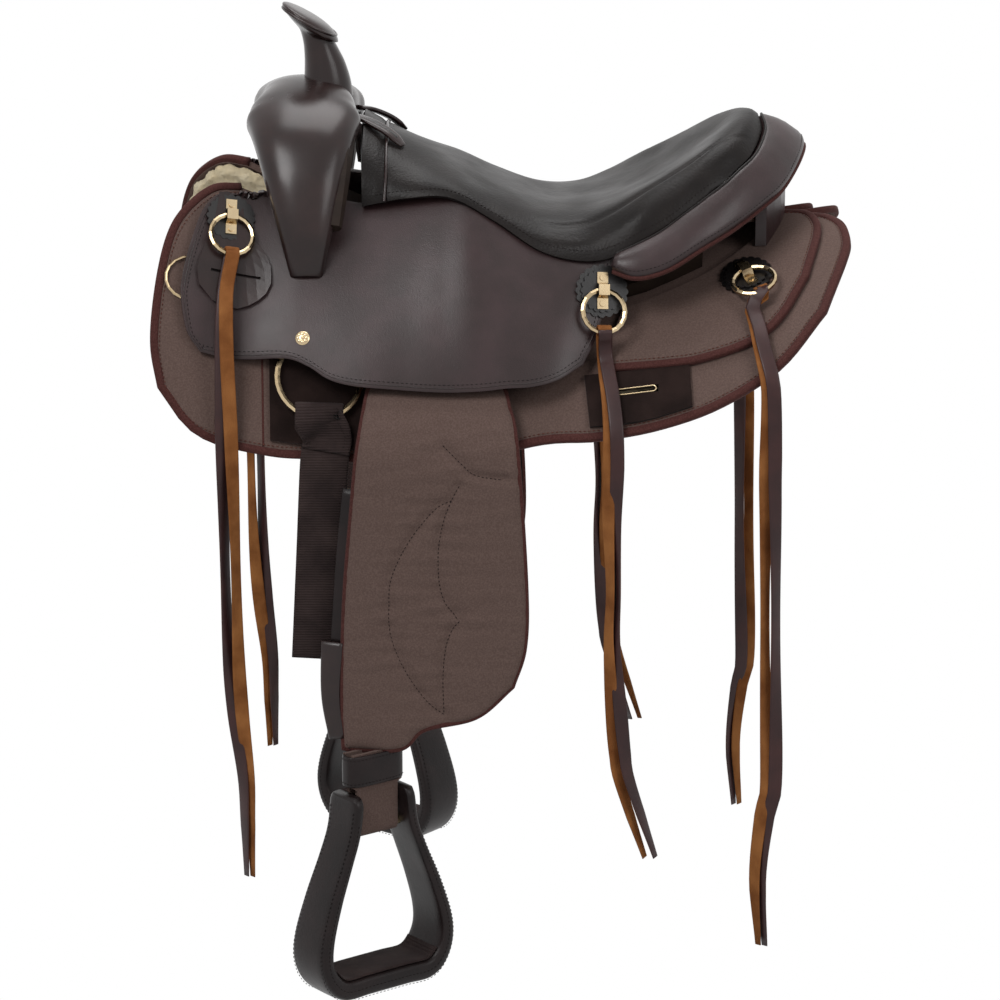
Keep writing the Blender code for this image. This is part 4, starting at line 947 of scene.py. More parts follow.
@dataclass(frozen=True)
class Skirts:
    """The padded woven skirts with the fleece under them."""

    outline: Outline = Outline(
        top=((-262, 90), (-180, 62), (-60, 44), (80, 30), (190, 12), (262, 1.5)),
        lower=((-337, 354), (-300, 368), (-230, 338), (-145, 298), (18, 255), (98, 256),
               (159, 254), (219, 243), (277, 216), (322, 166)),
        front=((-262, 90), (-289, 115), (-315, 160), (-330, 202), (-340, 260), (-344, 318),
               (-337, 354)),
        rear=((262, 1.5), (318, 8), (344, 34), (351, 72), (345, 104), (322, 166)),
    )
    slot_place: Point = (134, 217)
    slot_size: Point = (49, 9)
    binding_width: float = 8.5 * MM
    binding_thickness: float = 8.0 * MM

    def build(self, side: Side) -> None:
        """Builds one side.

        Args:
            side: which.
        """
        surface = OnBack(side, lambda x, s: SKIRT_TOP)
        skirt = Sheet(f"panel_skirt_{side.value}", self.outline, CORDURA, 150, 70, SKIRT, 14,
                      1.6 * MM, 1.0 * MM)
        made = skirt.build(surface.point, surface.out, self._in_slot)
        Mounting("saddle", "cordura", (f"skirt_{side.value}",)).hold(made)
        self._fleece(side)
        self._slot_lining(side)
        middle = OnBack(side, lambda x, s: SKIRT_LOW + SKIRT / 2)
        line = middle.line(self.outline.loop(60, 0, "rbf"))
        bound = bind(f"skirt_binding_{side.value}", line, self.binding_width,
                     self.binding_thickness, BINDING, False)
        Mounting("saddle", "leather").hold(bound)
        sewn = stitches(f"skirt_stitching_{side.value}",
                        [surface.line(self.outline.loop(70, 5.5, "rbf"), 0.3 * MM)], RUST_THREAD)
        Mounting("saddle", "lace").hold(sewn)
        seam = np.array([(-237, 126), (-238, 200), (-236, 290), (-235, 336)], float)
        welt = bind(f"skirt_seam_{side.value}", surface.line(smooth(seam, 40), -0.3 * MM),
                    2.2 * MM, 1.4 * MM, BINDING, False)
        Mounting("saddle", "leather").hold(welt)

    def _slot_lining(self, side: Side) -> None:
        """Lines the rear slot: a metal rim, and a black floor that is painted shade, laid over the
        fleece to darken the hole.

        Args:
            side: which side.
        """
        x, s = self.slot_place
        frame = BACK.frame(x, s, lambda a, b: SKIRT_LOW, side, 3)
        length, width = 46.4 * MM, 7.4 * MM
        # Painted shade: a black sheet at the bottom of the slot stands for the shade inside the hole.
        bm = bmesh.new()
        scale = Matrix.Diagonal((length, width, 0.8 * MM, 1))
        bmesh.ops.create_cube(bm, size=1, matrix=frame @ Matrix.Translation((0, 0, 0.8 * MM)) @ scale)
        floor = to_object(f"slot_painted_shade_{side.value}", bm, BLACK_LEATHER)
        Mounting("saddle", "leather").hold(floor)
        rim = []
        for angle in np.linspace(0, 2 * pi, 41)[:-1]:
            across = (length - width) / 2 * (1 if cos(angle) > 0 else -1)
            rim.append(frame @ Vector((across + width / 2 * 0.86 * cos(angle),
                                       width / 2 * 0.86 * sin(angle), 11.0 * MM)))
        wire = tube(f"slot_rim_{side.value}", rim, 0.7 * MM, METAL, True)
        Mounting("saddle", "brass").hold(wire)

    def _in_slot(self, x: float, s: float) -> bool:
        """Whether a place lies in the rear slot."""
        (slot_x, slot_s), (length, width) = self.slot_place, self.slot_size
        return abs(x - slot_x) < length / 2 and abs(s - slot_s) < width / 2

    def _fleece(self, side: Side) -> None:
        """Builds the fleece of one side.

        Args:
            side: which.
        """
        surface = OnBack(side, lambda x, s: FLEECE)

        def tufts(x: float, s: float) -> float:
            return 0.8 * MM * noise.noise(Vector((x / 6, s / 6, side.sign * 9.0)))

        drawn = Sheet(f"fleece_pad_{side.value}", self.outline, FLEECE_FINISH, 130, 60,
                      FLEECE * 0.88, 16, 2.5 * MM, 0.0)
        made = drawn.build(surface.point, surface.out, None, tufts)
        evened = made.modifiers.new("even mesh", "REMESH")
        evened.mode = "VOXEL"
        evened.voxel_size = 3.4 * MM
        evened.use_smooth_shade = True
        rounded = made.modifiers.new("rounded edge", "SMOOTH")
        rounded.factor = 0.5
        rounded.iterations = 3
        ruffle = bpy.data.textures.new(f"tufts {side.value}", "VORONOI")
        ruffle.noise_scale = 15 * MM
        tufted = made.modifiers.new("tufts", "DISPLACE")
        tufted.texture = ruffle
        tufted.texture_coords = "LOCAL"
        tufted.strength = -6.0 * MM
        tufted.mid_level = 0.30
        Mounting("saddle", "fleece", (f"fleece_{side.value}",)).hold(made)


@dataclass(frozen=True)
class RearJockeys:
    """The padded woven panels behind the seat."""

    outline: Outline = Outline(
        top=((124, 122), (160, 112), (215, 88), (262, 46), (286, 2)),
        lower=((100, 188), (135, 191), (169, 194), (199, 195), (248, 187), (279, 166),
               (306, 122)),
        front=((124, 122), (100, 188)),
        rear=((286, 2), (312, 14), (322, 38), (321, 66), (306, 122)),
    )

    def build(self, side: Side) -> None:
        """Builds one side.

        Args:
            side: which.
        """
        surface = OnBack(side, lambda x, s: REAR_JOCKEY_TOP)
        panel = Sheet(f"panel_rear_{side.value}", self.outline, CORDURA, 80, 50, REAR_JOCKEY, 12,
                      1.8 * MM, 1.0 * MM, "tf")
        made = panel.build(surface.point, surface.out)
        Mounting("saddle", "cordura", (f"rear_jockey_{side.value}",)).hold(made)
        middle = OnBack(side, lambda x, s: REAR_JOCKEY_TOP - REAR_JOCKEY / 2)
        rim = self.outline.loop(60, 0, "rb")
        bound = bind(f"rear_binding_{side.value}", middle.line(rim), 8.0 * MM, 7.4 * MM, BINDING,
                     False)
        Mounting("saddle", "leather").hold(bound)
        sewn = stitches(f"rear_stitching_{side.value}",
                        [surface.line(self.outline.loop(60, 5.5, "rb"), 0.2 * MM)], RUST_THREAD)
        Mounting("saddle", "lace").hold(sewn)


@dataclass(frozen=True)
class Jockeys:
    """The smooth leather side panels."""

    outline: Outline = Outline(
        top=((-262, 106), (-244, 95), (-200, 66), (-140, 58), (-90, 48), (-60, 46), (-30, 50),
             (0, 63), (30, 80), (60, 93), (90, 99), (117, 100)),
        lower=((-298, 290), (-267, 274), (-216, 243), (-191, 238), (-171, 241), (-147, 238),
               (-97, 226), (-39, 217), (1, 213), (32, 212), (59, 205), (83, 189)),
        front=((-262, 106), (-280, 118), (-297, 149), (-309, 194), (-316, 231), (-317, 251),
               (-311, 280), (-298, 290)),
        rear=((117, 100), (113, 112), (106, 135), (97, 162), (83, 189)),
    )

    def build(self, side: Side) -> None:
        """Builds one side.

        Args:
            side: which.
        """
        surface = OnBack(side, JOCKEY_HEIGHT.at)
        panel = Sheet(f"panel_jockey_{side.value}", self.outline, PANEL_LEATHER, 140, 60, JOCKEY,
                      8, 0.4 * MM, 0.9 * MM, "t")
        made = panel.build(surface.point, surface.out)
        Mounting("saddle", "leather", (f"jockey_{side.value}",)).hold(made)
        sewn = stitches(f"jockey_stitching_{side.value}",
                        [surface.line(self.outline.loop(60, 6.0, "rbf"), -0.05 * MM)], THREAD)
        Mounting("saddle", "leather").hold(sewn)
        crease = tube(f"jockey_edge_crease_{side.value}",
                      [p for p, _ in surface.line(self.outline.loop(60, 3.2, "rbf"), -0.25 * MM)],
                      0.6 * MM, MOULDED_LEATHER)
        Mounting("saddle", "leather").hold(crease)


# Seat, roll, fork and horn


def mirrored(line: Line) -> list[Point]:
    """A half line from one side to the middle, carried on to the other side."""
    return [(x, -y, z) for x, y, z in line] + [(x, y, z) for x, y, z in reversed(line[:-1])]


def metres(point: Sequence[float]) -> Vector:
    """A point given in millimetres."""
    return Vector(point) * MM


@dataclass(frozen=True)
class Seat:
    """The padded seat. Its lines run across, from the middle to an edge, front to rear."""

    lines: tuple[Line, ...] = (
        ((-138, 0, 152), (-138, 42, 146), (-139, 78, 126), (-139, 100, 98), (-139, 108, 72)),
        ((-95, 0, 128), (-95, 38, 125), (-95, 74, 114), (-95, 100, 98), (-95, 114, 82)),
        ((-50, 0, 107), (-50, 42, 106), (-50, 82, 101), (-50, 106, 94), (-50, 119, 84)),
        ((-5, 0, 85.5), (-5, 46, 85), (-5, 90, 80), (-5, 116, 71), (-5, 128, 62)),
        ((40, 0, 68.5), (40, 52, 68.5), (40, 98, 63), (40, 128, 49), (40, 141, 34)),
        ((80, 0, 65), (80, 56, 66), (80, 106, 61), (80, 137, 43), (80, 149, 25)),
        ((122, 0, 74), (120, 56, 76), (113, 106, 73), (108, 137, 53), (112, 152, 29)),
        ((165, 0, 94), (162, 56, 96), (152, 103, 94), (142, 135, 74), (138, 150, 43)),
        ((208, 0, 123), (204, 50, 124), (190, 95, 114), (174, 127, 88), (172, 141, 60)),
        ((240, 0, 148), (236, 44, 145), (220, 84, 131), (201, 113, 106), (203, 127, 83)),
        ((256, 0, 153), (252, 42, 147), (237, 84, 130), (217, 109, 108), (213, 121, 90)),
        ((264, 0, 149), (266, 35, 138), (254, 78, 121), (238, 100, 109), (222, 115, 97)),
    )
    lengths: int = 120
    across: int = 96
    thickness: float = 9 * MM
    edge_thickness: float = 5 * MM
    crease_width: float = 3.2
    crease_depth: float = 2.0 * MM

    def _surface(self) -> np.ndarray:
        """Fills the seat's top, in millimetres.

        Returns:
            Points indexed by [along, across].
        """
        rows = []
        for line in self.lines:
            half = [(x, -y, z) for x, y, z in reversed(line)]
            rows.append(smooth(half + list(line[1:]), self.across))
        columns = [smooth([row[j] for row in rows], self.lengths) for j in range(self.across + 1)]
        return np.stack(columns, axis=1)

    def _crease(self, u: float, v: float) -> float:
        """Depth of the seams that shape the padding.

        Args:
            u: share of the way to the rear.
            v: place across, from -1 to 1.

        Returns:
            Depth in metres.
        """
        side = abs(v)
        dish = abs(side - (0.62 + 0.16 * cos(pi * (u - 0.35) * 1.3))) * 150
        fade = max(0.0, min(1.0, (u - 0.42) / 0.1)) * max(0.0, min(1.0, (0.98 - u) / 0.08))
        front = abs(u - 0.055) * 420
        along = self.crease_depth * fade * np.exp(-((dish / self.crease_width) ** 2))
        return float(along + 1.6 * MM * np.exp(-((front / self.crease_width) ** 2)))

    def build(self) -> None:
        """Builds the seat with its front strip and welt."""
        grid = self._surface()
        along = np.gradient(grid, axis=0)
        over = np.gradient(grid, axis=1)
        normals = np.cross(along, over)
        normals /= np.linalg.norm(normals, axis=2, keepdims=True)
        bm = bmesh.new()
        bmesh.ops.create_grid(bm, x_segments=self.lengths, y_segments=self.across, size=0.5)
        for vert in bm.verts:
            u, v = vert.co.x + 0.5, 2 * vert.co.y
            i, j = round(u * self.lengths), round((vert.co.y + 0.5) * self.across)
            sink = self._crease(u, v) + 1.5 * MM * max(0.0, (abs(v) - 0.93) / 0.07) ** 2
            vert.co = Vector(grid[i, j] * MM - normals[i, j] * sink)
        bm.normal_update()
        if sum(face.normal.z for face in bm.faces) < 0:
            bmesh.ops.reverse_faces(bm, faces=bm.faces)
        made = to_object("seat_pad", bm, SEAT_LEATHER)
        solid = made.modifiers.new("thickness", "SOLIDIFY")
        solid.thickness = self.edge_thickness
        solid.offset = -1
        rounded = made.modifiers.new("rounded edge", "BEVEL")
        rounded.width = 1.5 * MM
        rounded.segments = 3
        rounded.limit_method = "ANGLE"
        rounded.angle_limit = radians(50)
        Mounting("saddle", "soft_leather", ("seat",)).hold(made)
        front = [(Vector(p * MM) + Vector(n) * 0.2 * MM, Vector(n))
                 for p, n in zip(grid[7], normals[7])]
        welt = tube("seat_front_welt", [p for p, _ in front], 1.7 * MM, MOULDED_LEATHER)
        Mounting("saddle", "leather").hold(welt)
        sewn = stitches("seat_stitching", [
            [(Vector(grid[i, j] * MM), Vector(normals[i, j])) for i in range(4, self.lengths - 2)]
            for j in (3, self.across - 3)], THREAD, 3.0 * MM, 4.2 * MM, 0.8 * MM)
        Mounting("saddle", "soft_leather").hold(sewn)
        for side in SIDES:
            self._handhold(side)

    def _handhold(self, side: Side) -> None:
        """Builds the raised strap at the seat's front, with a thin black strip down its middle that
        is painted shade for its slot.

        Args:
            side: which side.
        """
        route = [(-145, 30, 150.5), (-132, 40, 147), (-113, 48, 137.5), (-98, 54, 124.5)]
        line = [metres((x, side.sign * y, z)) for x, y, z in smooth(route, 24)]
        out = Vector((0.45, side.sign * 0.35, 0.8)).normalized()
        strap = Strip(f"handhold_{side.value}", 15 * MM, 5 * MM, MOULDED_LEATHER, 16, 0.6)
        Mounting("saddle", "leather").hold(strap.build(line, [out] * len(line), taper=4))
        # Painted shade: the slot is a thin black strip laid along the strap, not an opening.
        raised = [p + out * 2.1 * MM for p in line[4:-4]]
        slot = Strip(f"handhold_slot_painted_shade_{side.value}", 4 * MM, 1.2 * MM, BLACK_LEATHER, 12, 0.6)
        Mounting("saddle", "leather").hold(slot.build(raised, [out] * len(raised)))


@dataclass(frozen=True)
class CantleRoll:
    """The stuffed roll round the cantle: its seam with the seat and its outer edge."""

    seam: Line = ((116, 154, 33), (138, 152, 43), (160, 147, 54), (181, 139, 68), (203, 129, 83),
                  (224, 117, 97), (240, 102, 109), (257, 79, 121), (269, 36, 138), (267, 0, 148))
    edge: Line = ((112, 163, 18), (135, 171, 12), (166, 167, 19), (199, 155, 37), (233, 135, 54),
                  (266, 105, 73), (286, 80, 86), (304, 40, 106), (312, 0, 118))
    section: Line = ((0.0, -9), (0.0, 0.5), (0.12, 3.6), (0.3, 6.4), (0.5, 7.8), (0.65, 8),
                     (0.8, 7), (0.9, 5), (0.97, 1.5), (1.0, -3), (0.96, -6.5), (0.85, -9),
                     (0.5, -9.6))
    stations: int = 90

    def _stations(self) -> list[tuple[Vector, Vector, Vector]]:
        """Seam point, way out to the edge and way up at each station.

        Returns:
            The stations from the left end to the right.
        """
        seam = [metres(p) for p in smooth(mirrored(self.seam), self.stations)]
        edge = [metres(p) for p in smooth(mirrored(self.edge), self.stations)]
        made = []
        for i in range(self.stations + 1):
            along = (seam[min(i + 1, self.stations)] - seam[max(i - 1, 0)]).normalized()
            out = edge[i] - seam[i]
            up = out.cross(along).normalized()
            up = up if up.z > 0 else -up
            made.append((seam[i] + out.normalized() * 0.6 * MM, out, up))
        return made

    def build(self) -> None:
        """Builds the roll, its binding and its seam."""
        stations = self._stations()
        section = smooth([*self.section, self.section[0]], 30)[:-1]
        bm = bmesh.new()
        sides = len(section)
        bmesh.ops.create_grid(bm, x_segments=self.stations, y_segments=sides, size=0.5)
        for vert in bm.verts:
            i = round((vert.co.x + 0.5) * self.stations)
            k = round((vert.co.y + 0.5) * sides) % sides
            seam, out, up = stations[i]
            share, rise = section[k]
            wrinkle = 0.35 * MM * noise.noise(Vector((i / 2.2, k / 6, 4.0)))
            vert.co = seam + out * share + up * (rise * MM + (wrinkle if rise > 0 else 0))
        bmesh.ops.remove_doubles(bm, verts=bm.verts, dist=0.01 * MM)
        bmesh.ops.holes_fill(bm, edges=bm.edges, sides=sides)
        bmesh.ops.recalc_face_normals(bm, faces=bm.faces)
        made = to_object("cantle_roll_leather", bm, PANEL_LEATHER)
        Mounting("saddle", "leather", ("cantle_roll",)).hold(made)
        outer = [seam + out * 0.985 - up * 1.5 * MM for seam, out, up in stations]
        cord = tube("roll_edge_binding", outer, 3.0 * MM, BINDING)
        Mounting("saddle", "leather").hold(cord)
        inner = [seam + up * 0.6 * MM for seam, out, up in stations]
        welt = tube("roll_seam_welt", inner, 1.5 * MM, SEAT_LEATHER)
        Mounting("saddle", "leather").hold(welt)
        sewn = stitches("roll_stitching",
                        [[(seam + out * 0.86 + up * 6.0 * MM, up) for seam, out, up in stations]],
                        THREAD, 3.0 * MM, 4.2 * MM, 0.8 * MM)
        Mounting("saddle", "leather").hold(sewn)


@dataclass(frozen=True)
class Fork:
    """The moulded leather over the arch: outer and inner points (y, z), middle x, half length."""

    stations: tuple[tuple[Point, Point, float, float], ...] = (
        ((154, 10), (140, 4), -193, 16), ((158, 24), (136, 16), -196, 42),
        ((158, 48), (128, 40), -198, 57), ((151, 80), (114, 68), -198, 56),
        ((136, 116), (96, 96), -199, 54), ((108, 152), (74, 117), -198, 52),
        ((60, 177), (38, 126), -197, 48), ((0, 188), (0, 130), -199, 45),
    )
    rows: int = 96
    rounds: int = 60
    open_angle: float = 50
    square: float = 0.80
    leather: float = 4.5

    def _ring(self, table: np.ndarray, inset: float, count: int) -> list[Vector]:
        """One ring round the arch.

        Args:
            table: outer y and z, inner y and z, middle x and half length there.
            inset: how far inside the outer face, in millimetres.
            count: steps round it.

        Returns:
            The ring's points.
        """
        oy, oz, iy, iz, x, half = table
        middle = Vector((0, (oy + iy) / 2, (oz + iz) / 2))
        out = Vector((0, oy - iy, oz - iz))
        rise = out.length / 2 - inset
        out.normalize()
        ring = []
        first, last = -90 + self.open_angle, 270 - self.open_angle
        for k in range(count + 1):
            angle = radians(first + (last - first) * k / count)
            c, s = cos(angle), sin(angle)
            c = abs(c) ** self.square * (1 if c > 0 else -1)
            s = abs(s) ** self.square * (1 if s > 0 else -1)
            flat = middle + out * rise * s
            ring.append(metres((x + (half - inset) * c, flat.y, flat.z)))
        return ring

    def _table(self) -> np.ndarray:
        """The arch's sizes from foot to foot.

        Returns:
            One row for each ring.
        """
        half = [(k, oy, oz, iy, iz, x, a)
                for k, ((oy, oz), (iy, iz), x, a) in enumerate(self.stations)]
        crown = len(half) - 1
        outer = smooth([(k, -oy, oz) for k, oy, oz, *_ in half]
                       + [(k, oy, oz) for k, oy, oz, *_ in reversed(half[:-1])], self.rows)
        inner = smooth([(k, -iy, iz) for k, _, _, iy, iz, *_ in half]
                       + [(k, iy, iz) for k, _, _, iy, iz, *_ in reversed(half[:-1])], self.rows)
        sizes = [(row[0], row[5], row[6]) for row in half]
        sizes = smooth(sizes + [(2 * crown - k, x, a) for k, x, a in reversed(sizes[:-1])],
                       self.rows)
        return np.hstack([outer[:, 1:], inner[:, 1:], sizes[:, 1:]])

    def build(self) -> None:
        """Builds the cover with the stitching along its front and rear edges."""
        table = self._table()
        rings = [self._ring(row, 0, self.rounds) for row in table]
        bm = bmesh.new()
        bmesh.ops.create_grid(bm, x_segments=self.rows, y_segments=self.rounds, size=0.5)
        gone = []
        for vert in bm.verts:
            i = round((vert.co.x + 0.5) * self.rows)
            k = round((vert.co.y + 0.5) * self.rounds)
            vert.co = rings[i][k]
            side = Side.LEFT if vert.co.y < 0 else Side.RIGHT
            if _under_panel(vert.co, side):
                gone.append(vert)
        bmesh.ops.delete(bm, geom=gone, context="VERTS")
        bmesh.ops.recalc_face_normals(bm, faces=bm.faces)
        bm.faces.ensure_lookup_table()
        if sum(f.normal.z for f in bm.faces if f.calc_center_median().z > 0.17) < 0:
            bmesh.ops.reverse_faces(bm, faces=bm.faces)
        made = to_object("fork_leather", bm, MOULDED_LEATHER)
        solid = made.modifiers.new("thickness", "SOLIDIFY")
        solid.thickness = self.leather * MM
        solid.offset = -1
        rounded = made.modifiers.new("rounded edge", "BEVEL")
        rounded.width = 1.0 * MM
        rounded.segments = 3
        rounded.limit_method = "ANGLE"
        rounded.angle_limit = radians(50)
        Mounting("saddle", "leather", ("fork_cover",)).hold(made)
        for place, k in (("front", 4), ("rear", self.rounds - 4)):
            run = []
            for i in range(8, self.rows - 7):
                centre = sum(rings[i], Vector()) / len(rings[i])
                run.append((rings[i][k], (rings[i][k] - centre).normalized()))
            seen = [(p, n) for p, n in run
                    if not _under_panel(p, Side.LEFT if p.y < 0 else Side.RIGHT)]
            sewn = stitches(f"fork_stitching_{place}", [seen], THREAD, 3.2 * MM, 4.4 * MM)
            Mounting("saddle", "leather").hold(sewn)


def _under_panel(point: Vector, side: Side) -> bool:
    """Whether a point lies lower than the side panel's outer face.

    Args:
        point: the point.
        side: its side.

    Returns:
        True where the panel hides it.
    """
    x = point.x / MM
    low, high = 20.0, 290.0
    for _ in range(18):
        s = (low + high) / 2
        if BACK.point(x, s, JOCKEY_HEIGHT.at(x, s), side).y * side.sign < abs(point.y):
            low = s
        else:
            high = s
    if low < 66:
        return False
    return point.z < BACK.point(x, low, JOCKEY_HEIGHT.at(x, low), side).z - 1.0 * MM


@dataclass(frozen=True)
class Horn:
    """The leather covered horn: rings of (x, z, radius, tilt in degrees)."""

    rings: Line = ((-176, 168, 26, 0), (-176.5, 186, 23.5, 0), (-179, 205, 20.5, 5),
                   (-182.5, 219, 18.5, 12), (-186, 229, 19, 20), (-188, 233, 23.5, 25),
                   (-189.8, 236, 28, 28), (-192, 240.5, 30, 28), (-194.5, 245.5, 30, 28),
                   (-196.3, 249, 28.5, 28), (-197.6, 251.6, 25, 28), (-198.4, 253.2, 19, 28),
                   (-198.8, 254, 9, 28))
    sides: int = 48

    def build(self) -> None:
        """Builds the horn with the welt round its cap."""
        rows = smooth(self.rings, 56)
        bm = bmesh.new()
        ring = bmesh.ops.create_circle(bm, segments=self.sides, radius=1)["verts"]
        frames = []
        for x, z, radius, tilt in rows:
            frame = Matrix.Translation(metres((x, 0, z))) @ Matrix.Rotation(radians(tilt), 4, "Y")
            frames.append(frame @ Matrix.Diagonal((radius * MM, radius * MM, MM, 1)))
        bmesh.ops.transform(bm, matrix=frames[0], verts=ring)
        edges = list(bm.edges)
        for before, after in zip(frames[:-1], frames[1:]):
            made = bmesh.ops.extrude_edge_only(bm, edges=edges)["geom"]
            verts = [item for item in made if isinstance(item, bmesh.types.BMVert)]
            edges = [item for item in made if isinstance(item, bmesh.types.BMEdge)]
            bmesh.ops.transform(bm, matrix=after @ before.inverted(), verts=verts)
        bmesh.ops.holes_fill(bm, edges=bm.edges, sides=self.sides)
        bmesh.ops.recalc_face_normals(bm, faces=bm.faces)
        piece = to_object("horn_leather", bm, MOULDED_LEATHER)
        Mounting("saddle", "leather", ("horn",)).hold(piece)
        rim = Matrix.Translation(metres((-194, 0, 244))) @ Matrix.Rotation(radians(28), 4, "Y")
        points = [rim @ (Vector((cos(a), sin(a), 0)) * 30.6 * MM)
                  for a in np.linspace(0, 2 * pi, 49)[:-1]]
        welt = tube("horn_cap_welt", points, 1.5 * MM, MOULDED_LEATHER, True)
        Mounting("saddle", "leather").hold(welt)


# Rings, strings and rigging

RING_INNER = 38 * MM
RING_WIRE = 5 * MM
RING_RADIUS = (RING_INNER + RING_WIRE) / 2
CLIP_BRIDGE = RING_WIRE + 2.6 * MM
RING_RISE = CLIP_BRIDGE - RING_WIRE / 2 - 0.9 * MM
STRING_THICKNESS = 2.2 * MM


@dataclass(frozen=True)
class Lace:
    """One string: a lace folded through its ring, with a ply on each side of the ring.

    The place is (x, s, turn in degrees) of its clip; the route runs down to the tips, in
    millimetres.
    """

    name: str
    place: Point
    route: Line
    width: float = 14 * MM
    ply_offset: float = 8.5 * MM
    flesh_out: bool = False
    fold_place: float = 2 * RING_RADIUS - 2.2 * MM
    fold_radius: float = RING_WIRE / 2 + 0.7 * MM + STRING_THICKNESS / 2
    steps: int = 60

    def ring_frame(self, side: Side) -> Matrix:
        """Frames the ring's hinge.

        Args:
            side: which side.

        Returns:
            The frame: the hinge along X, the ring towards -Y.
        """
        x, s, turn = self.place
        under = LAYER_GAP + 0.3 * MM + (4 * MM if self.name == "front" else 4.5 * MM)

        def height_at(along: float, down: float) -> float:
            base = REAR_JOCKEY_TOP if self.name == "rear" else JOCKEY_HEIGHT.at(along, down)
            return base + under

        rise = Matrix.Translation((0, 0, RING_RISE))
        lean = Matrix.Rotation(radians(-4), 4, "X")
        return BACK.frame(x, s, height_at, side, turn) @ rise @ lean

    def _ply(self, side: Side, ply: int) -> tuple[list[Vector], list[Vector]]:
        """Centres and outward directions of one ply, from its ring to its tip.

        Args:
            side: which side.
            ply: -1 for the inner ply, 1 for the outer.

        Returns:
            The centres and the directions.
        """
        frame = self.ring_frame(side)
        out = (frame.to_3x3() @ Vector((0, 0, 1))).normalized()
        along = Vector((1, 0, 0))
        top = frame @ Vector((0, -self.fold_place, ply * self.fold_radius))
        below = frame @ Vector((0, -self.fold_place - 4 * MM, ply * self.fold_radius))
        route = [below] + [metres((x, side.sign * y, z)) for x, y, z in self.route]
        points = [top] + [Vector(p) for p in smooth(route, self.steps)]
        centres, outs = [], []
        for k, point in enumerate(points):
            ahead = (points[min(k + 1, len(points) - 1)] - points[max(k - 1, 0)]).normalized()
            share = min(1.0, k / 17)
            facing = along.cross(ahead)
            facing = (facing if facing.dot(out) > 0 else -facing).normalized()
            facing = (out * max(0.0, 1 - k / 4) + facing * min(1.0, k / 4)).normalized()
            twist = self._twist(k / len(points)) * side.sign
            facing = Matrix.Rotation(radians(twist), 3, ahead) @ facing
            shift = facing * ply * (STRING_THICKNESS / 2 + 0.35 * MM) * min(1.0, k / 4)
            centres.append(point + shift + along * ply * self.ply_offset / 2 * share)
            outs.append(facing * ply)
        return centres, outs

    def _twist(self, share: float) -> float:
        """Turn of the lace about its own line, in degrees.

        Args:
            share: share of the way to its tip.

        Returns:
            The turn.
        """
        start = max(0.0, min(1.0, (share - 0.2) / 0.3))
        lean = {"front": 52.0, "mid": -56.0, "rear": 48.0}[self.name]
        return lean * start * start * (3 - 2 * start) * cos(2.3 * pi * max(0.0, share - 0.5))

    def build(self, side: Side) -> None:
        """Builds both plies and the fold.

        Args:
            side: which side.
        """
        body = f"string_body_{self.name}_{side.value}"
        node = f"string_{self.name}_{side.value}"
        for ply, word in ((1, "outer"), (-1, "inner")):
            centres, outs = self._ply(side, ply)
            faces = (LACE_FLESH, LACE_GRAIN) if self.flesh_out else (LACE_GRAIN, LACE_FLESH)
            strip = Strip(f"lace_{self.name}_{word}_{side.value}", self.width,
                          STRING_THICKNESS * 0.94, faces[0], 12, under=faces[1])
            made = strip.build(centres, outs, taper=5)
            Mounting(body, "lace", (node,)).hold(made)
        self._fold(side, body)

    def _fold(self, side: Side, body: str) -> None:
        """Builds the turn over the ring.

        Args:
            side: which side.
            body: what the string rides on.
        """
        frame = self.ring_frame(side)
        centres, outs = [], []
        for angle in np.linspace(-0.06 * pi, 1.06 * pi, 15):
            way = frame.to_3x3() @ Vector((0, sin(angle), -cos(angle)))
            centres.append(frame @ Vector((0, -self.fold_place, 0)) + way * self.fold_radius)
            outs.append(way)
        strip = Strip(f"lace_{self.name}_fold_{side.value}", self.width * 1.02,
                      STRING_THICKNESS * 1.05, LACE_FLESH, 12)
        Mounting(body, "lace").hold(strip.build(centres, outs))


LACES = (
    Lace("front", (-269, 137, 0), (
        (-272, 173, 2), (-273, 187, -25), (-273, 197, -58), (-272, 207, -98),
        (-271, 214, -140), (-270, 215.5, -200), (-268, 215.5, -350), (-264, 215.5, -426),
        (-257, 215.5, -494), (-256, 215.5, -540), (-255, 215.5, -600)), flesh_out=True),
    Lace("mid", (102, 132, 0), (
        (104, 175, -64), (106, 189, -80), (109, 205, -98), (111, 220, -118), (112, 230, -138),
        (112, 232, -170), (111, 232, -223), (113, 232, -293), (112, 232, -350),
        (117, 232, -422), (121, 232, -466), (126, 232, -494), (152, 232, -574))),
    Lace("rear", (247, 108, 22), (
        (251, 160, -18), (255, 178, -33), (258, 194, -47), (261, 204, -60), (264, 214, -72),
        (267, 221, -88), (268, 223, -120), (268, 223, -180), (269, 223, -229),
        (271, 223, -364), (274, 223, -497), (268, 223, -532), (262, 223, -599),
        (267, 223, -672))),
)


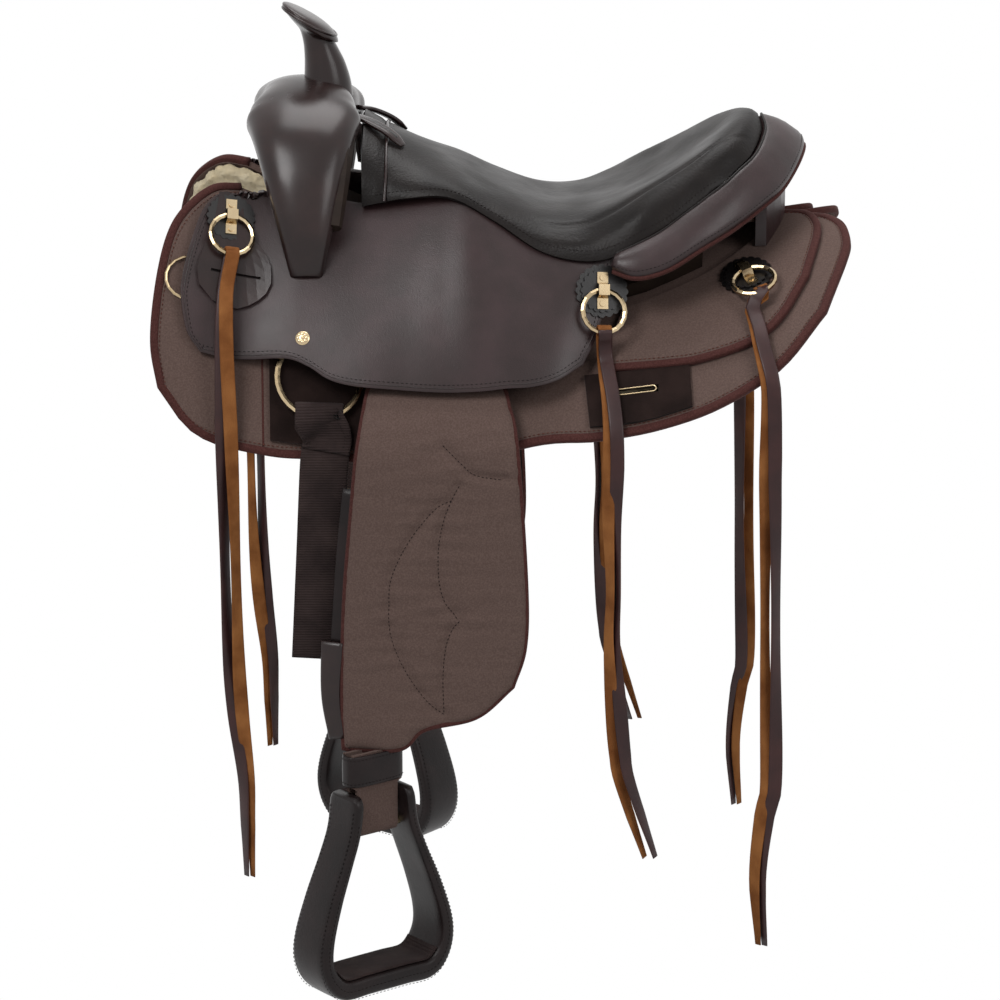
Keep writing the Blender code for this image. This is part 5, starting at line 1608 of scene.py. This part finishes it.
@dataclass(frozen=True)
class Webbing:
    """The latigo and the off billet, folded over the rigging rings. Route in millimetres."""

    route: Line = ((-171, 208.7, -140), (-173, 214.8, -155), (-175, 218, -175),
                   (-179, 218.5, -255), (-185, 218.5, -368))
    width: float = 48 * MM
    thickness: float = 2.2 * MM
    wire: float = 6 * MM
    ring_radius: float = 42 * MM
    place: Point = (-180, 239)

    def _ring(self, side: Side) -> Matrix:
        """Frames the rigging ring.

        Args:
            side: which side.

        Returns:
            The frame of its centre.
        """
        height = RIGGING_TOP + 0.3 * MM + self.wire / 2
        reach = self.ring_radius / MM
        x, s = self.place
        along = BACK.point(x + reach, s, height, side) - BACK.point(x - reach, s, height, side)
        along *= -side.sign
        up = BACK.point(x, s - reach, height, side) - BACK.point(x, s + reach, height, side)
        up.normalize()
        out = along.cross(up).normalized()
        frame = Matrix((up.cross(out), up, out)).transposed().to_4x4()
        rim = [BACK.point(x + reach * cos(a), s + reach * sin(a), height, side)
               for a in range(12)]
        here = BACK.point(x, s, height, side)
        frame.translation = here + out * max(0, max((p - here).dot(out) for p in rim))
        top = Matrix.Translation((0, self.ring_radius, 0))
        return frame @ top @ Matrix.Rotation(radians(-2.3), 4, "X") @ top.inverted()

    def _run(self, fold: Matrix, side: Side, ply: int, last: int,
             steps: int) -> tuple[list[Vector], list[Vector]]:
        """Centres and outward directions of one end, from the fold down.

        Args:
            fold: frame of the fold.
            side: which side.
            ply: -1 inside, 1 outside.
            last: number of route points that it follows.
            steps: steps along it.

        Returns:
            The centres and the directions.
        """
        out = (fold.to_3x3() @ Vector((0, 0, 1))).normalized()
        lift = self.wire / 2 + 0.8 * MM + self.thickness / 2
        start = fold @ Vector((0, 0, ply * lift))
        below = fold @ Vector((0, -15 * MM, ply * lift))
        route = [below] + [metres((x, side.sign * y, z)) for x, y, z in self.route[:last]]
        points = [start] + [Vector(p) for p in smooth(route, steps)]
        centres, ups = [], []
        for k, point in enumerate(points):
            ahead = (points[min(k + 1, steps + 1)] - points[max(k - 1, 0)]).normalized()
            facing = Vector((1, 0, 0)).cross(ahead)
            facing = (facing if facing.dot(out) > 0 else -facing).normalized()
            share = min(1.0, k / 6)
            facing = (out * (1 - share) + facing * share).normalized()
            centres.append(point + facing * ply * (self.thickness + 0.5 * MM) / 2 * share)
            ups.append(facing * ply)
        return centres, ups

    def build(self, side: Side) -> None:
        """Builds the strap of one side.

        Args:
            side: which side.
        """
        left = side is Side.LEFT
        node = "latigo" if left else "off_billet"
        drop = sqrt(self.ring_radius ** 2 - (self.width / 2) ** 2) - 2 * MM
        fold = self._ring(side) @ Matrix.Translation((0, -drop, 0))
        lift = self.wire / 2 + 0.8 * MM + self.thickness / 2
        inner, inner_ups = self._run(fold, side, -1, len(self.route), 44)
        outer, outer_ups = self._run(fold, side, 1, 2, 10)
        bend = [fold.to_3x3() @ Vector((0, sin(a), -cos(a))) for a in np.linspace(0, pi, 12)[1:-1]]
        centres = inner[::-1] + [fold.translation + way * lift for way in bend] + outer
        ups = inner_ups[::-1] + bend + outer_ups
        made = Strip(f"{node}_webbing", self.width, self.thickness, WEBBING, 16, 0.3).build(
            centres, ups)
        Mounting(f"{node}_body", "webbing", (node,)).hold(made)
        across = Vector((1, 0, 0))
        rows = [[(p + across * w + u * self.thickness / 2, u) for p, u in zip(outer, outer_ups)]
                for w in (-17 * MM, 17 * MM)]
        sewn = stitches(f"{node}_stitching", rows, THREAD, 2.6 * MM, 3.6 * MM, 0.8 * MM)
        Mounting(f"{node}_body", "webbing").hold(sewn)


# Fenders


@dataclass(frozen=True)
class Fenders:
    """The padded fenders with their straps: places are x and depth below z = 0."""

    outline: Outline = Outline(
        top=((-118, -8), (-62, -8)),
        lower=((-156, 454), (-101, 454), (-76, 434), (-24, 421), (12, 390)),
        front=((-118, -8), (-118, 40), (-124, 75), (-132, 105), (-141, 156), (-147, 218),
               (-153, 285), (-156, 348), (-157, 420), (-156, 454)),
        rear=((-62, -8), (-60, 35), (-38, 66), (-2, 88), (8, 112), (16, 150), (25, 285),
              (24, 350), (12, 390)),
    )
    line: Line = ((-8, 122.9), (24, 122.9), (45, 144), (70, 167), (100, 196), (130, 218),
                  (160, 228), (200, 231), (300, 236), (400, 241), (454, 244))
    thick: Line = ((-8, 5), (60, 5), (90, 8), (130, 11), (420, 11), (454, 8.8))
    quilting: tuple[Line, ...] = (
        ((-47, 200), (-63, 208), (-83, 231), (-99, 257), (-109, 283), (-110.5, 306),
         (-110.5, 326), (-107, 345), (-96, 371), (-79.5, 397), (-66.5, 411), (-55, 419)),
        ((-40, 185), (-47, 198), (-55, 218), (-60, 241), (-61.5, 260), (-60, 286), (-55, 303),
         (-47, 314), (-42, 321)),
        ((-40, 322), (-47, 330.5), (-53, 345), (-56, 365), (-57, 388), (-56, 417)),
        ((-57, 146), (-37, 165), (-24, 175), (5, 180)),
    )

    def build(self, side: Side) -> None:
        """Builds one side.

        Args:
            side: which.
        """
        middle, thick = Table(self.line), Table(self.thick)
        seams = np.vstack([smooth(line, 60) for line in self.quilting])

        def out(x: float, depth: float) -> Vector:
            slope = (middle.at(depth + 2) - middle.at(depth - 2)) / 4
            return Vector((0, side.sign, slope)).normalized()

        def face(x: float, depth: float) -> Vector:
            off = out(x, depth) * thick.at(depth) / 2 * MM
            return metres((x, side.sign * middle.at(depth), -depth)) + off

        def quilt(x: float, depth: float) -> float:
            away = float(np.min(np.hypot(seams[:, 0] - x, seams[:, 1] - depth)))
            if depth < 95:
                return 0.0
            valley = np.exp(-((away / 5.5) ** 2)) + 0.5 * np.exp(-away / 16)
            ruck = noise.noise(Vector((x * 0.022, depth * 0.11, side.sign * 3.0)))
            ruck *= 0.35 + 1.3 * np.exp(-away / 18)
            return float(MM * (1.2 - 2.3 * valley + 1.5 * ruck) * min(1.0, (depth - 95) / 12))

        panel = Sheet(f"panel_fender_{side.value}", self.outline, CORDURA, 90, 180, 5 * MM, 13,
                      3.2 * MM, 1.0 * MM, "t")
        made = panel.build(face, out, None, quilt)
        Mounting(f"fender_body_{side.value}", "cordura", (f"fender_{side.value}",)).hold(made)

        def inner(x: float, depth: float) -> Vector:
            return face(x, depth) - out(x, depth) * (thick.at(depth) - 0.2) * MM

        backing = Sheet(f"fender_backing_{side.value}", self.outline, SUEDE, 40, 90, 3 * MM, 8,
                        0.0, 0.8 * MM, "t").build(inner, lambda x, d: -out(x, d))
        Mounting(f"fender_body_{side.value}", "cordura").hold(backing)
        rim = np.vstack([self.outline.loop(90, 0.5, "rbf")])
        rim = rim[rim[:, 1] > 60]
        bound = bind(f"fender_binding_{side.value}",
                     [(face(x, d) - out(x, d) * (thick.at(d) / 2 + 0.6) * MM, out(x, d))
                      for x, d in rim], 7.5 * MM, 8.6 * MM, BINDING, False)
        Mounting(f"fender_body_{side.value}", "leather").hold(bound)
        edge = self.outline.loop(90, 5.5, "rbf")
        runs = [[(face(x, d) + out(x, d) * (quilt(x, d) - 1.6 * MM), out(x, d))
                 for x, d in edge if d > 70]]
        runs += [[(face(x, d) + out(x, d) * (quilt(x, d) + 0.35 * MM), out(x, d))
                  for x, d in smooth(line, 60)] for line in self.quilting]
        sewn = stitches(f"fender_stitching_{side.value}", runs, THREAD, 3.0 * MM, 4.2 * MM,
                        0.9 * MM)
        Mounting(f"fender_body_{side.value}", "lace").hold(sewn)
        self._sleeve(side)

    def _sleeve(self, side: Side) -> None:
        """Builds the stirrup leather's edge and sleeve in front of the fender.

        Args:
            side: which side.
        """
        out = Vector((-0.35, side.sign, 0)).normalized()
        body = f"fender_body_{side.value}"
        strap = [metres((x, side.sign * y, z)) for x, y, z in
                 smooth([(-150, 226, -190), (-157, 231, -260), (-163, 234, -350)], 20)]
        made = Strip(f"stirrup_strap_{side.value}", 13 * MM, 4 * MM, COVER_LEATHER).build(
            strap, [out] * len(strap))
        Mounting(body, "soft_leather").hold(made)
        sleeve = [metres((x, side.sign * y, z)) for x, y, z in
                  smooth([(-167, 236, -345), (-169, 239, -400), (-163, 242, -444)], 20)]
        sizes = [(w * MM, 8 * MM) for w in np.linspace(24, 17, len(sleeve))]
        made = Strip(f"stirrup_sleeve_{side.value}", 1, 1, MOULDED_LEATHER, 16).build(
            sleeve, [out] * len(sleeve), sizes=sizes)
        Mounting(body, "soft_leather").hold(made)


# Finishes of the carried-over pieces

NODE_FINISHES: dict[str, Finish] = {
    "keeper_flap": MOULDED_LEATHER, "hobble": COVER_LEATHER, "stirrup_leather": CORDURA,
    "stirrup": PANEL_LEATHER, "rosette_mid": BLACK_LEATHER, "rosette_rear": BLACK_LEATHER,
    "rigging_plate": SUEDE, "rear_rigging": SUEDE, "tree_bar": TIMBER, "breast_dee": METAL,
    "rigging_ring": METAL, "clip_front": METAL, "clip_mid": METAL, "clip_rear": METAL,
    "ring_front": METAL, "ring_mid": METAL, "ring_rear": METAL, "fork_cover": MOULDED_LEATHER,
    "horn": MOULDED_LEATHER, "ground_seat": SUEDE, "tree_cantle": PANEL_LEATHER,
    "tree_fork": TIMBER, "cantle_roll": PANEL_LEATHER, "seat": SEAT_LEATHER,
    "latigo": WEBBING, "off_billet": WEBBING, "skirt": CORDURA, "fleece": FLEECE_FINISH,
    "fender": CORDURA, "jockey": PANEL_LEATHER, "rear_jockey": CORDURA,
    "string_front": LACE_GRAIN, "string_mid": LACE_GRAIN, "string_rear": LACE_GRAIN,
}


def dress_nodes(frame: dict) -> None:
    """Gives every carried-over node its finish.
    """
    for name, node in frame["nodes"].items():
        item = node if isinstance(node, bpy.types.Object) else bpy.data.objects.get(name)
        base = name.removesuffix("_left").removesuffix("_right")
        if item is None or base not in NODE_FINISHES:
            LOG.warning("%s keeps its own finish", name)
            continue
        for place in item.material_slots:
            place.material = FINISHES.get(NODE_FINISHES[base])


# Camera, floor and light


@dataclass(frozen=True)
class Studio:
    """The camera of the photograph, a pale floor and soft light."""

    target: Point = (0, 0, -0.26)
    distance: float = 4.2
    elevation: float = 14.5
    lens: float = 144
    floor: float = -0.709

    def build(self) -> None:
        """Sets the scene up."""
        scene = bpy.context.scene
        scene.view_settings.view_transform = "Standard"
        rise = radians(self.elevation)
        away = Vector((0, -cos(rise), sin(rise))) * self.distance
        camera = bpy.data.objects.new("camera", bpy.data.cameras.new("camera"))
        scene.collection.objects.link(camera)
        camera.location = Vector(self.target) + away
        camera.rotation_euler = (-away).to_track_quat("-Z", "Y").to_euler()
        camera.data.lens = self.lens
        camera.data.sensor_width = 36
        scene.camera = camera
        self._lamp("key", (-1.9, -2.6, 2.9), 1.7, 78)
        self._lamp("fill", (2.6, -2.4, 1.8), 1.8, 34)
        self._lamp("top", (0.2, 0.9, 3.2), 2.2, 60)
        self._world(scene)
        self._floor(scene)

    def _lamp(self, name: str, place: Point, size: float, power: float) -> None:
        """Adds a soft lamp that looks at the saddle.

        Args:
            name: its name.
            place: where it hangs.
            size: its width in metres.
            power: its power in watts.
        """
        lamp = bpy.data.lights.new(name, "AREA")
        lamp.size = size
        lamp.energy = power
        made = bpy.data.objects.new(name, lamp)
        made.location = place
        way = Vector(self.target) - Vector(place)
        made.rotation_euler = way.to_track_quat("-Z", "Y").to_euler()
        bpy.context.scene.collection.objects.link(made)

    def _white(self, tree: bpy.types.NodeTree) -> bpy.types.NodeSocket:
        """A factor that is 1 for rays that should see plain white.

        Args:
            tree: node tree to build in.

        Returns:
            The factor's socket.
        """
        path = tree.nodes.new("ShaderNodeLightPath")
        first = tree.nodes.new("ShaderNodeMath")
        first.operation = "MAXIMUM"
        tree.links.new(path.outputs["Is Camera Ray"], first.inputs[0])
        tree.links.new(path.outputs["Is Transmission Ray"], first.inputs[1])
        second = tree.nodes.new("ShaderNodeMath")
        second.operation = "MAXIMUM"
        tree.links.new(first.outputs["Value"], second.inputs[0])
        tree.links.new(path.outputs["Is Glossy Ray"], second.inputs[1])
        return second.outputs["Value"]

    def _world(self, scene: bpy.types.Scene) -> None:
        """Makes the surroundings white to the camera and softly lit otherwise.

        Args:
            scene: the scene.
        """
        world = bpy.data.worlds.new("studio")
        world.use_nodes = True
        scene.world = world
        tree = world.node_tree
        ground = tree.nodes["Background"]
        ground.inputs["Color"].default_value = (1, 1, 1, 1)
        spread = tree.nodes.new("ShaderNodeMapRange")
        spread.inputs["To Min"].default_value = 0.22
        spread.inputs["To Max"].default_value = 1.0
        tree.links.new(self._white(tree), spread.inputs["Value"])
        tree.links.new(spread.outputs["Result"], ground.inputs["Strength"])

    def _floor(self, scene: bpy.types.Scene) -> None:
        """Lays the floor.

        Args:
            scene: the scene.
        """
        bm = bmesh.new()
        bmesh.ops.create_grid(bm, x_segments=1, y_segments=1, size=6)
        bmesh.ops.translate(bm, vec=(0, 0, self.floor), verts=bm.verts)
        mesh = bpy.data.meshes.new("floor")
        bm.to_mesh(mesh)
        bm.free()
        made = bpy.data.objects.new("floor", mesh)
        scene.collection.objects.link(made)
        paint = bpy.data.materials.new("pale floor")
        paint.use_nodes = True
        tree = paint.node_tree
        shader = tree.nodes["Principled BSDF"]
        shader.inputs["Base Color"].default_value = (0.5, 0.5, 0.5, 1)
        shader.inputs["Roughness"].default_value = 0.9
        glow = tree.nodes.new("ShaderNodeEmission")
        glow.inputs["Color"].default_value = (1, 1, 1, 1)
        mix = tree.nodes.new("ShaderNodeMixShader")
        tree.links.new(self._white(tree), mix.inputs["Fac"])
        tree.links.new(shader.outputs["BSDF"], mix.inputs[1])
        tree.links.new(glow.outputs["Emission"], mix.inputs[2])
        tree.links.new(mix.outputs["Shader"], tree.nodes["Material Output"].inputs["Surface"])
        mesh.materials.append(paint)


# Stirrups, rosettes and small metal


@dataclass(frozen=True)
class Stirrups:
    """The leather covered stirrups that stand out at the fenders' feet."""

    height: float = 208 * MM
    top_width: float = 76 * MM
    bottom_width: float = 166 * MM
    arm: float = 12 * MM
    tread: float = 22 * MM
    arm_width: float = 47 * MM
    tread_depth: float = 58 * MM
    top_depth: float = 0.4966
    turn: float = 38

    def frame(self, side: Side) -> Matrix:
        """Frames the top of the stirrup: X across it, Z up.

        Args:
            side: which side.

        Returns:
            The frame.
        """
        at = Matrix.Translation((-128 * MM, side.sign * 245 * MM, -self.top_depth))
        return at @ Matrix.Rotation(radians(-side.sign * self.turn), 4, "Z")

    def _outline(self) -> np.ndarray:
        """(across, down, thickness, width) from one arm's top round to the other's."""
        top, bottom = self.top_width / 2 - self.arm / 2, self.bottom_width / 2
        h, arm, wide, deep = self.height, self.arm, self.arm_width, self.tread_depth
        low = h - self.tread / 2
        half = [
            (top, 0, arm, wide * 0.8), (top, 0.04 * h, arm, wide),
            (top + 0.02 * h, 0.18 * h, arm, wide), (top + 0.07 * h, 0.32 * h, arm, wide * 1.03),
            (bottom * 0.74, 0.5 * h, arm * 1.17, wide * 1.09),
            (bottom * 0.88, 0.68 * h, arm * 1.25, deep * 0.95),
            (bottom * 0.90, 0.80 * h, arm * 1.35, deep * 0.98),
            (bottom * 0.80, 0.895 * h, arm * 1.6, deep),
            (bottom * 0.62, low, self.tread, deep), (bottom * 0.3, low, self.tread, deep),
            (0, low, self.tread, deep),
        ]
        return smooth(half + [(-x, z, t, w) for x, z, t, w in reversed(half[:-1])], 120)

    def build(self, side: Side) -> None:
        """Builds the covered band, its stitching, the tread's pad and the bolt.

        Args:
            side: which side.
        """
        frame, outline = self.frame(side), self._outline()
        turned = frame.to_3x3()
        centres = [frame @ Vector((x, 0, -z)) for x, z, _, _ in outline]
        last = len(centres) - 1
        ups = []
        for i in range(last + 1):
            ahead = centres[min(i + 1, last)] - centres[max(i - 1, 0)]
            ups.append(-ahead.cross(turned @ Vector((0, 1, 0))).normalized())
        sizes = [(wide, thick) for _, _, thick, wide in outline]
        body = f"stirrup_body_{side.value}"
        band = Strip(f"stirrup_band_{side.value}", 1, 1, COVER_LEATHER, 28, 0.42)
        made = band.build(centres, ups, sizes=sizes)
        Mounting(body, "leather", (f"stirrup_{side.value}",)).hold(made)
        flip = 1 if (centres[last // 2] - centres[0]).dot(ups[last // 2]) > 0 else -1
        runs = []
        for edge in (-1, 1):
            runs.append([
                (c + turned @ Vector((0, edge * (w / 2 - 4.5 * MM), 0)) + u * flip * t / 2,
                 u * flip) for c, u, (w, t) in zip(centres, ups, sizes)][3:-3])
            runs.append([
                (c + turned @ Vector((0, edge * w / 2, 0)), turned @ Vector((0, edge, 0)))
                for c, (w, t) in zip(centres, sizes)][6:-6])
        sewn = stitches(f"stirrup_stitching_{side.value}", runs, THREAD, 3.2 * MM, 4.6 * MM)
        Mounting(body, "leather").hold(sewn)
        mid = slice(last // 2 - 17, last // 2 + 18)
        pad = Strip(f"tread_pad_{side.value}", self.tread_depth * 0.86, 2.4 * MM, WEBBING, 16, 0.4)
        inner = [c - u * flip * (t / 2 + 0.4 * MM)
                 for c, u, (w, t) in zip(centres[mid], ups[mid], sizes[mid])]
        Mounting(body, "leather").hold(pad.build(inner, ups[mid]))
        drop = 38 * MM
        for end in (-1, 1):
            bolt = [frame @ Vector((end * x * MM, 0, -drop)) for x in (22, 38.6, 39.8)]
            head = tube(f"stirrup_bolt_{side.value}_{'front' if end < 0 else 'rear'}", bolt,
                        5.2 * MM, METAL, sides=6)
            Mounting(body, "brass").hold(head)


@dataclass(frozen=True)
class Hobbles:
    """The leather bands that hold the two plies of the stirrup leathers together."""

    height: float = 32 * MM
    leather: float = 3.5 * MM
    half_width: float = 32.3 * MM
    half_depth: float = 10.7 * MM
    drop: float = 17.2 * MM

    def build(self, side: Side) -> None:
        """Builds the band with its stitched edges.

        Args:
            side: which side.
        """
        at = Matrix.Translation((-128 * MM, side.sign * 245 * MM, -0.4546 - self.drop))
        frame = at @ Matrix.Rotation(radians(-side.sign * 38), 4, "Z")
        centres, outs = [], []
        for angle in np.linspace(0, 2 * pi, 73)[:-1]:
            c, s = cos(angle), sin(angle)
            x = self.half_width * abs(c) ** 0.5 * (1 if c > 0 else -1)
            y = self.half_depth * abs(s) ** 0.6 * (1 if s > 0 else -1)
            centres.append(frame @ Vector((x, y, 0)))
            outs.append(frame.to_3x3() @ Vector((c * 0.6, s, 0)).normalized())
        band = Strip(f"hobble_band_{side.value}", self.height, self.leather, COVER_LEATHER, 20,
                     0.35)
        body = f"neck_body_{side.value}"
        made = band.build(centres, outs, True)
        Mounting(body, "leather", (f"hobble_{side.value}",)).hold(made)
        runs = [[(c + o * self.leather / 2 + Vector((0, 0, z)), o)
                 for c, o in zip(centres, outs)] for z in (-12.5 * MM, 12.5 * MM)]
        sewn = stitches(f"hobble_stitching_{side.value}", runs, THREAD, 3.0 * MM, 4.2 * MM)
        Mounting(body, "leather").hold(sewn)


@dataclass(frozen=True)
class Rosettes:
    """The scalloped leather rounds behind the rings."""

    radius: float = 27 * MM
    scallop: float = 2.2 * MM
    count: int = 20

    def _round(self, name: str, frame: Matrix, radius: float, low: float,
               high: float) -> bpy.types.Object:
        """Cuts one layer.

        Args:
            name: the piece's name.
            frame: its frame, Z outwards.
            radius: to the tips of its scallops.
            low: height of its underside.
            high: height of its top.

        Returns:
            The layer.
        """
        bm = bmesh.new()
        bmesh.ops.create_circle(bm, cap_ends=True, segments=self.count * 10, radius=1)
        for vert in bm.verts:
            angle = atan2(vert.co.y, vert.co.x)
            rim = radius - self.scallop * (1 - abs(cos(angle * self.count / 2)))
            vert.co = Vector((cos(angle) * rim, sin(angle) * rim, low))
        made = bmesh.ops.extrude_face_region(bm, geom=list(bm.faces))["geom"]
        top = [item for item in made if isinstance(item, bmesh.types.BMVert)]
        bmesh.ops.translate(bm, vec=(0, 0, high - low), verts=top)
        bmesh.ops.transform(bm, matrix=frame, verts=bm.verts)
        bmesh.ops.recalc_face_normals(bm, faces=bm.faces)
        piece = to_object(name, bm, BLACK_LEATHER)
        piece.data.set_sharp_from_angle(angle=radians(35))
        return piece

    def build(self, side: Side, lace: Lace) -> None:
        """Builds the layers behind one ring: one behind the front ring, two behind the others.

        Args:
            side: which side.
            lace: the string whose ring it carries.
        """
        lean = Matrix.Rotation(radians(4), 4, "X")
        frame = lace.ring_frame(side) @ lean @ Matrix.Translation((0, 0, -RING_RISE))
        name = f"{lace.name}_{side.value}"
        if lace.name == "front":
            layer = self._round(f"rosette_base_{name}", frame, self.radius * 0.92, -3.2 * MM,
                                -0.2 * MM)
            Mounting("saddle", "leather").hold(layer)
            return
        under = self._round(f"rosette_under_{name}", frame, self.radius, -4.6 * MM, -2.2 * MM)
        over = self._round(f"rosette_over_{name}", frame, self.radius * 0.82, -2.1 * MM,
                           -0.2 * MM)
        Mounting("saddle", "leather", (f"rosette_{name}",)).hold(under)
        Mounting("saddle", "leather", (f"rosette_{name}",)).hold(over)


@dataclass(frozen=True)
class Concho:
    """The round brass screw head on the side panel, with its small flower."""

    place: Point = (-196, 214)
    radius: float = 7.5 * MM

    def build(self, side: Side) -> None:
        """Builds the rim, the dome and the petals.

        Args:
            side: which side.
        """
        frame = BACK.frame(*self.place, JOCKEY_HEIGHT.at, side)
        bm = bmesh.new()
        bmesh.ops.create_uvsphere(bm, u_segments=32, v_segments=16, radius=1)
        shape = frame @ Matrix.Diagonal((self.radius, self.radius, 2.2 * MM, 1))
        bmesh.ops.transform(bm, matrix=shape, verts=bm.verts)
        for k in range(8):
            angle = 2 * pi * k / 8
            at = Matrix.Translation((cos(angle) * self.radius * 0.55,
                                     sin(angle) * self.radius * 0.55, 1.7 * MM))
            petal = Matrix.Diagonal((1.9 * MM, 1.9 * MM, 0.9 * MM, 1))
            bmesh.ops.create_uvsphere(bm, u_segments=12, v_segments=8, radius=1,
                                      matrix=frame @ at @ petal)
        bmesh.ops.create_uvsphere(bm, u_segments=16, v_segments=10, radius=1.9 * MM,
                                  matrix=frame @ Matrix.Translation((0, 0, 1.6 * MM)))
        made = to_object(f"concho_{side.value}", bm, METAL)
        Mounting("saddle", "brass").hold(made)


def main() -> None:
    """Builds the saddle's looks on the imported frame."""
    logging.basicConfig(level=logging.INFO, format="%(name)s: %(message)s")
    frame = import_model()
    Studio().build()
    for side in SIDES:
        for lace in LACES:
            lace.build(side)
        LOG.info("laces of the %s side", side.value)
    dress_nodes(frame)
    Seat().build()
    CantleRoll().build()
    Fork().build()
    Horn().build()
    LOG.info("seat, roll, fork and horn")
    for side in SIDES:
        for lace in LACES:
            Rosettes().build(side, lace)
        for part in (Skirts(), RearJockeys(), Jockeys(), Webbing(), Fenders(), Stirrups(),
                     Hobbles(), Concho()):
            part.build(side)
            LOG.info("%s of the %s side", type(part).__name__, side.value)


if __name__ == "__main__":
    main()
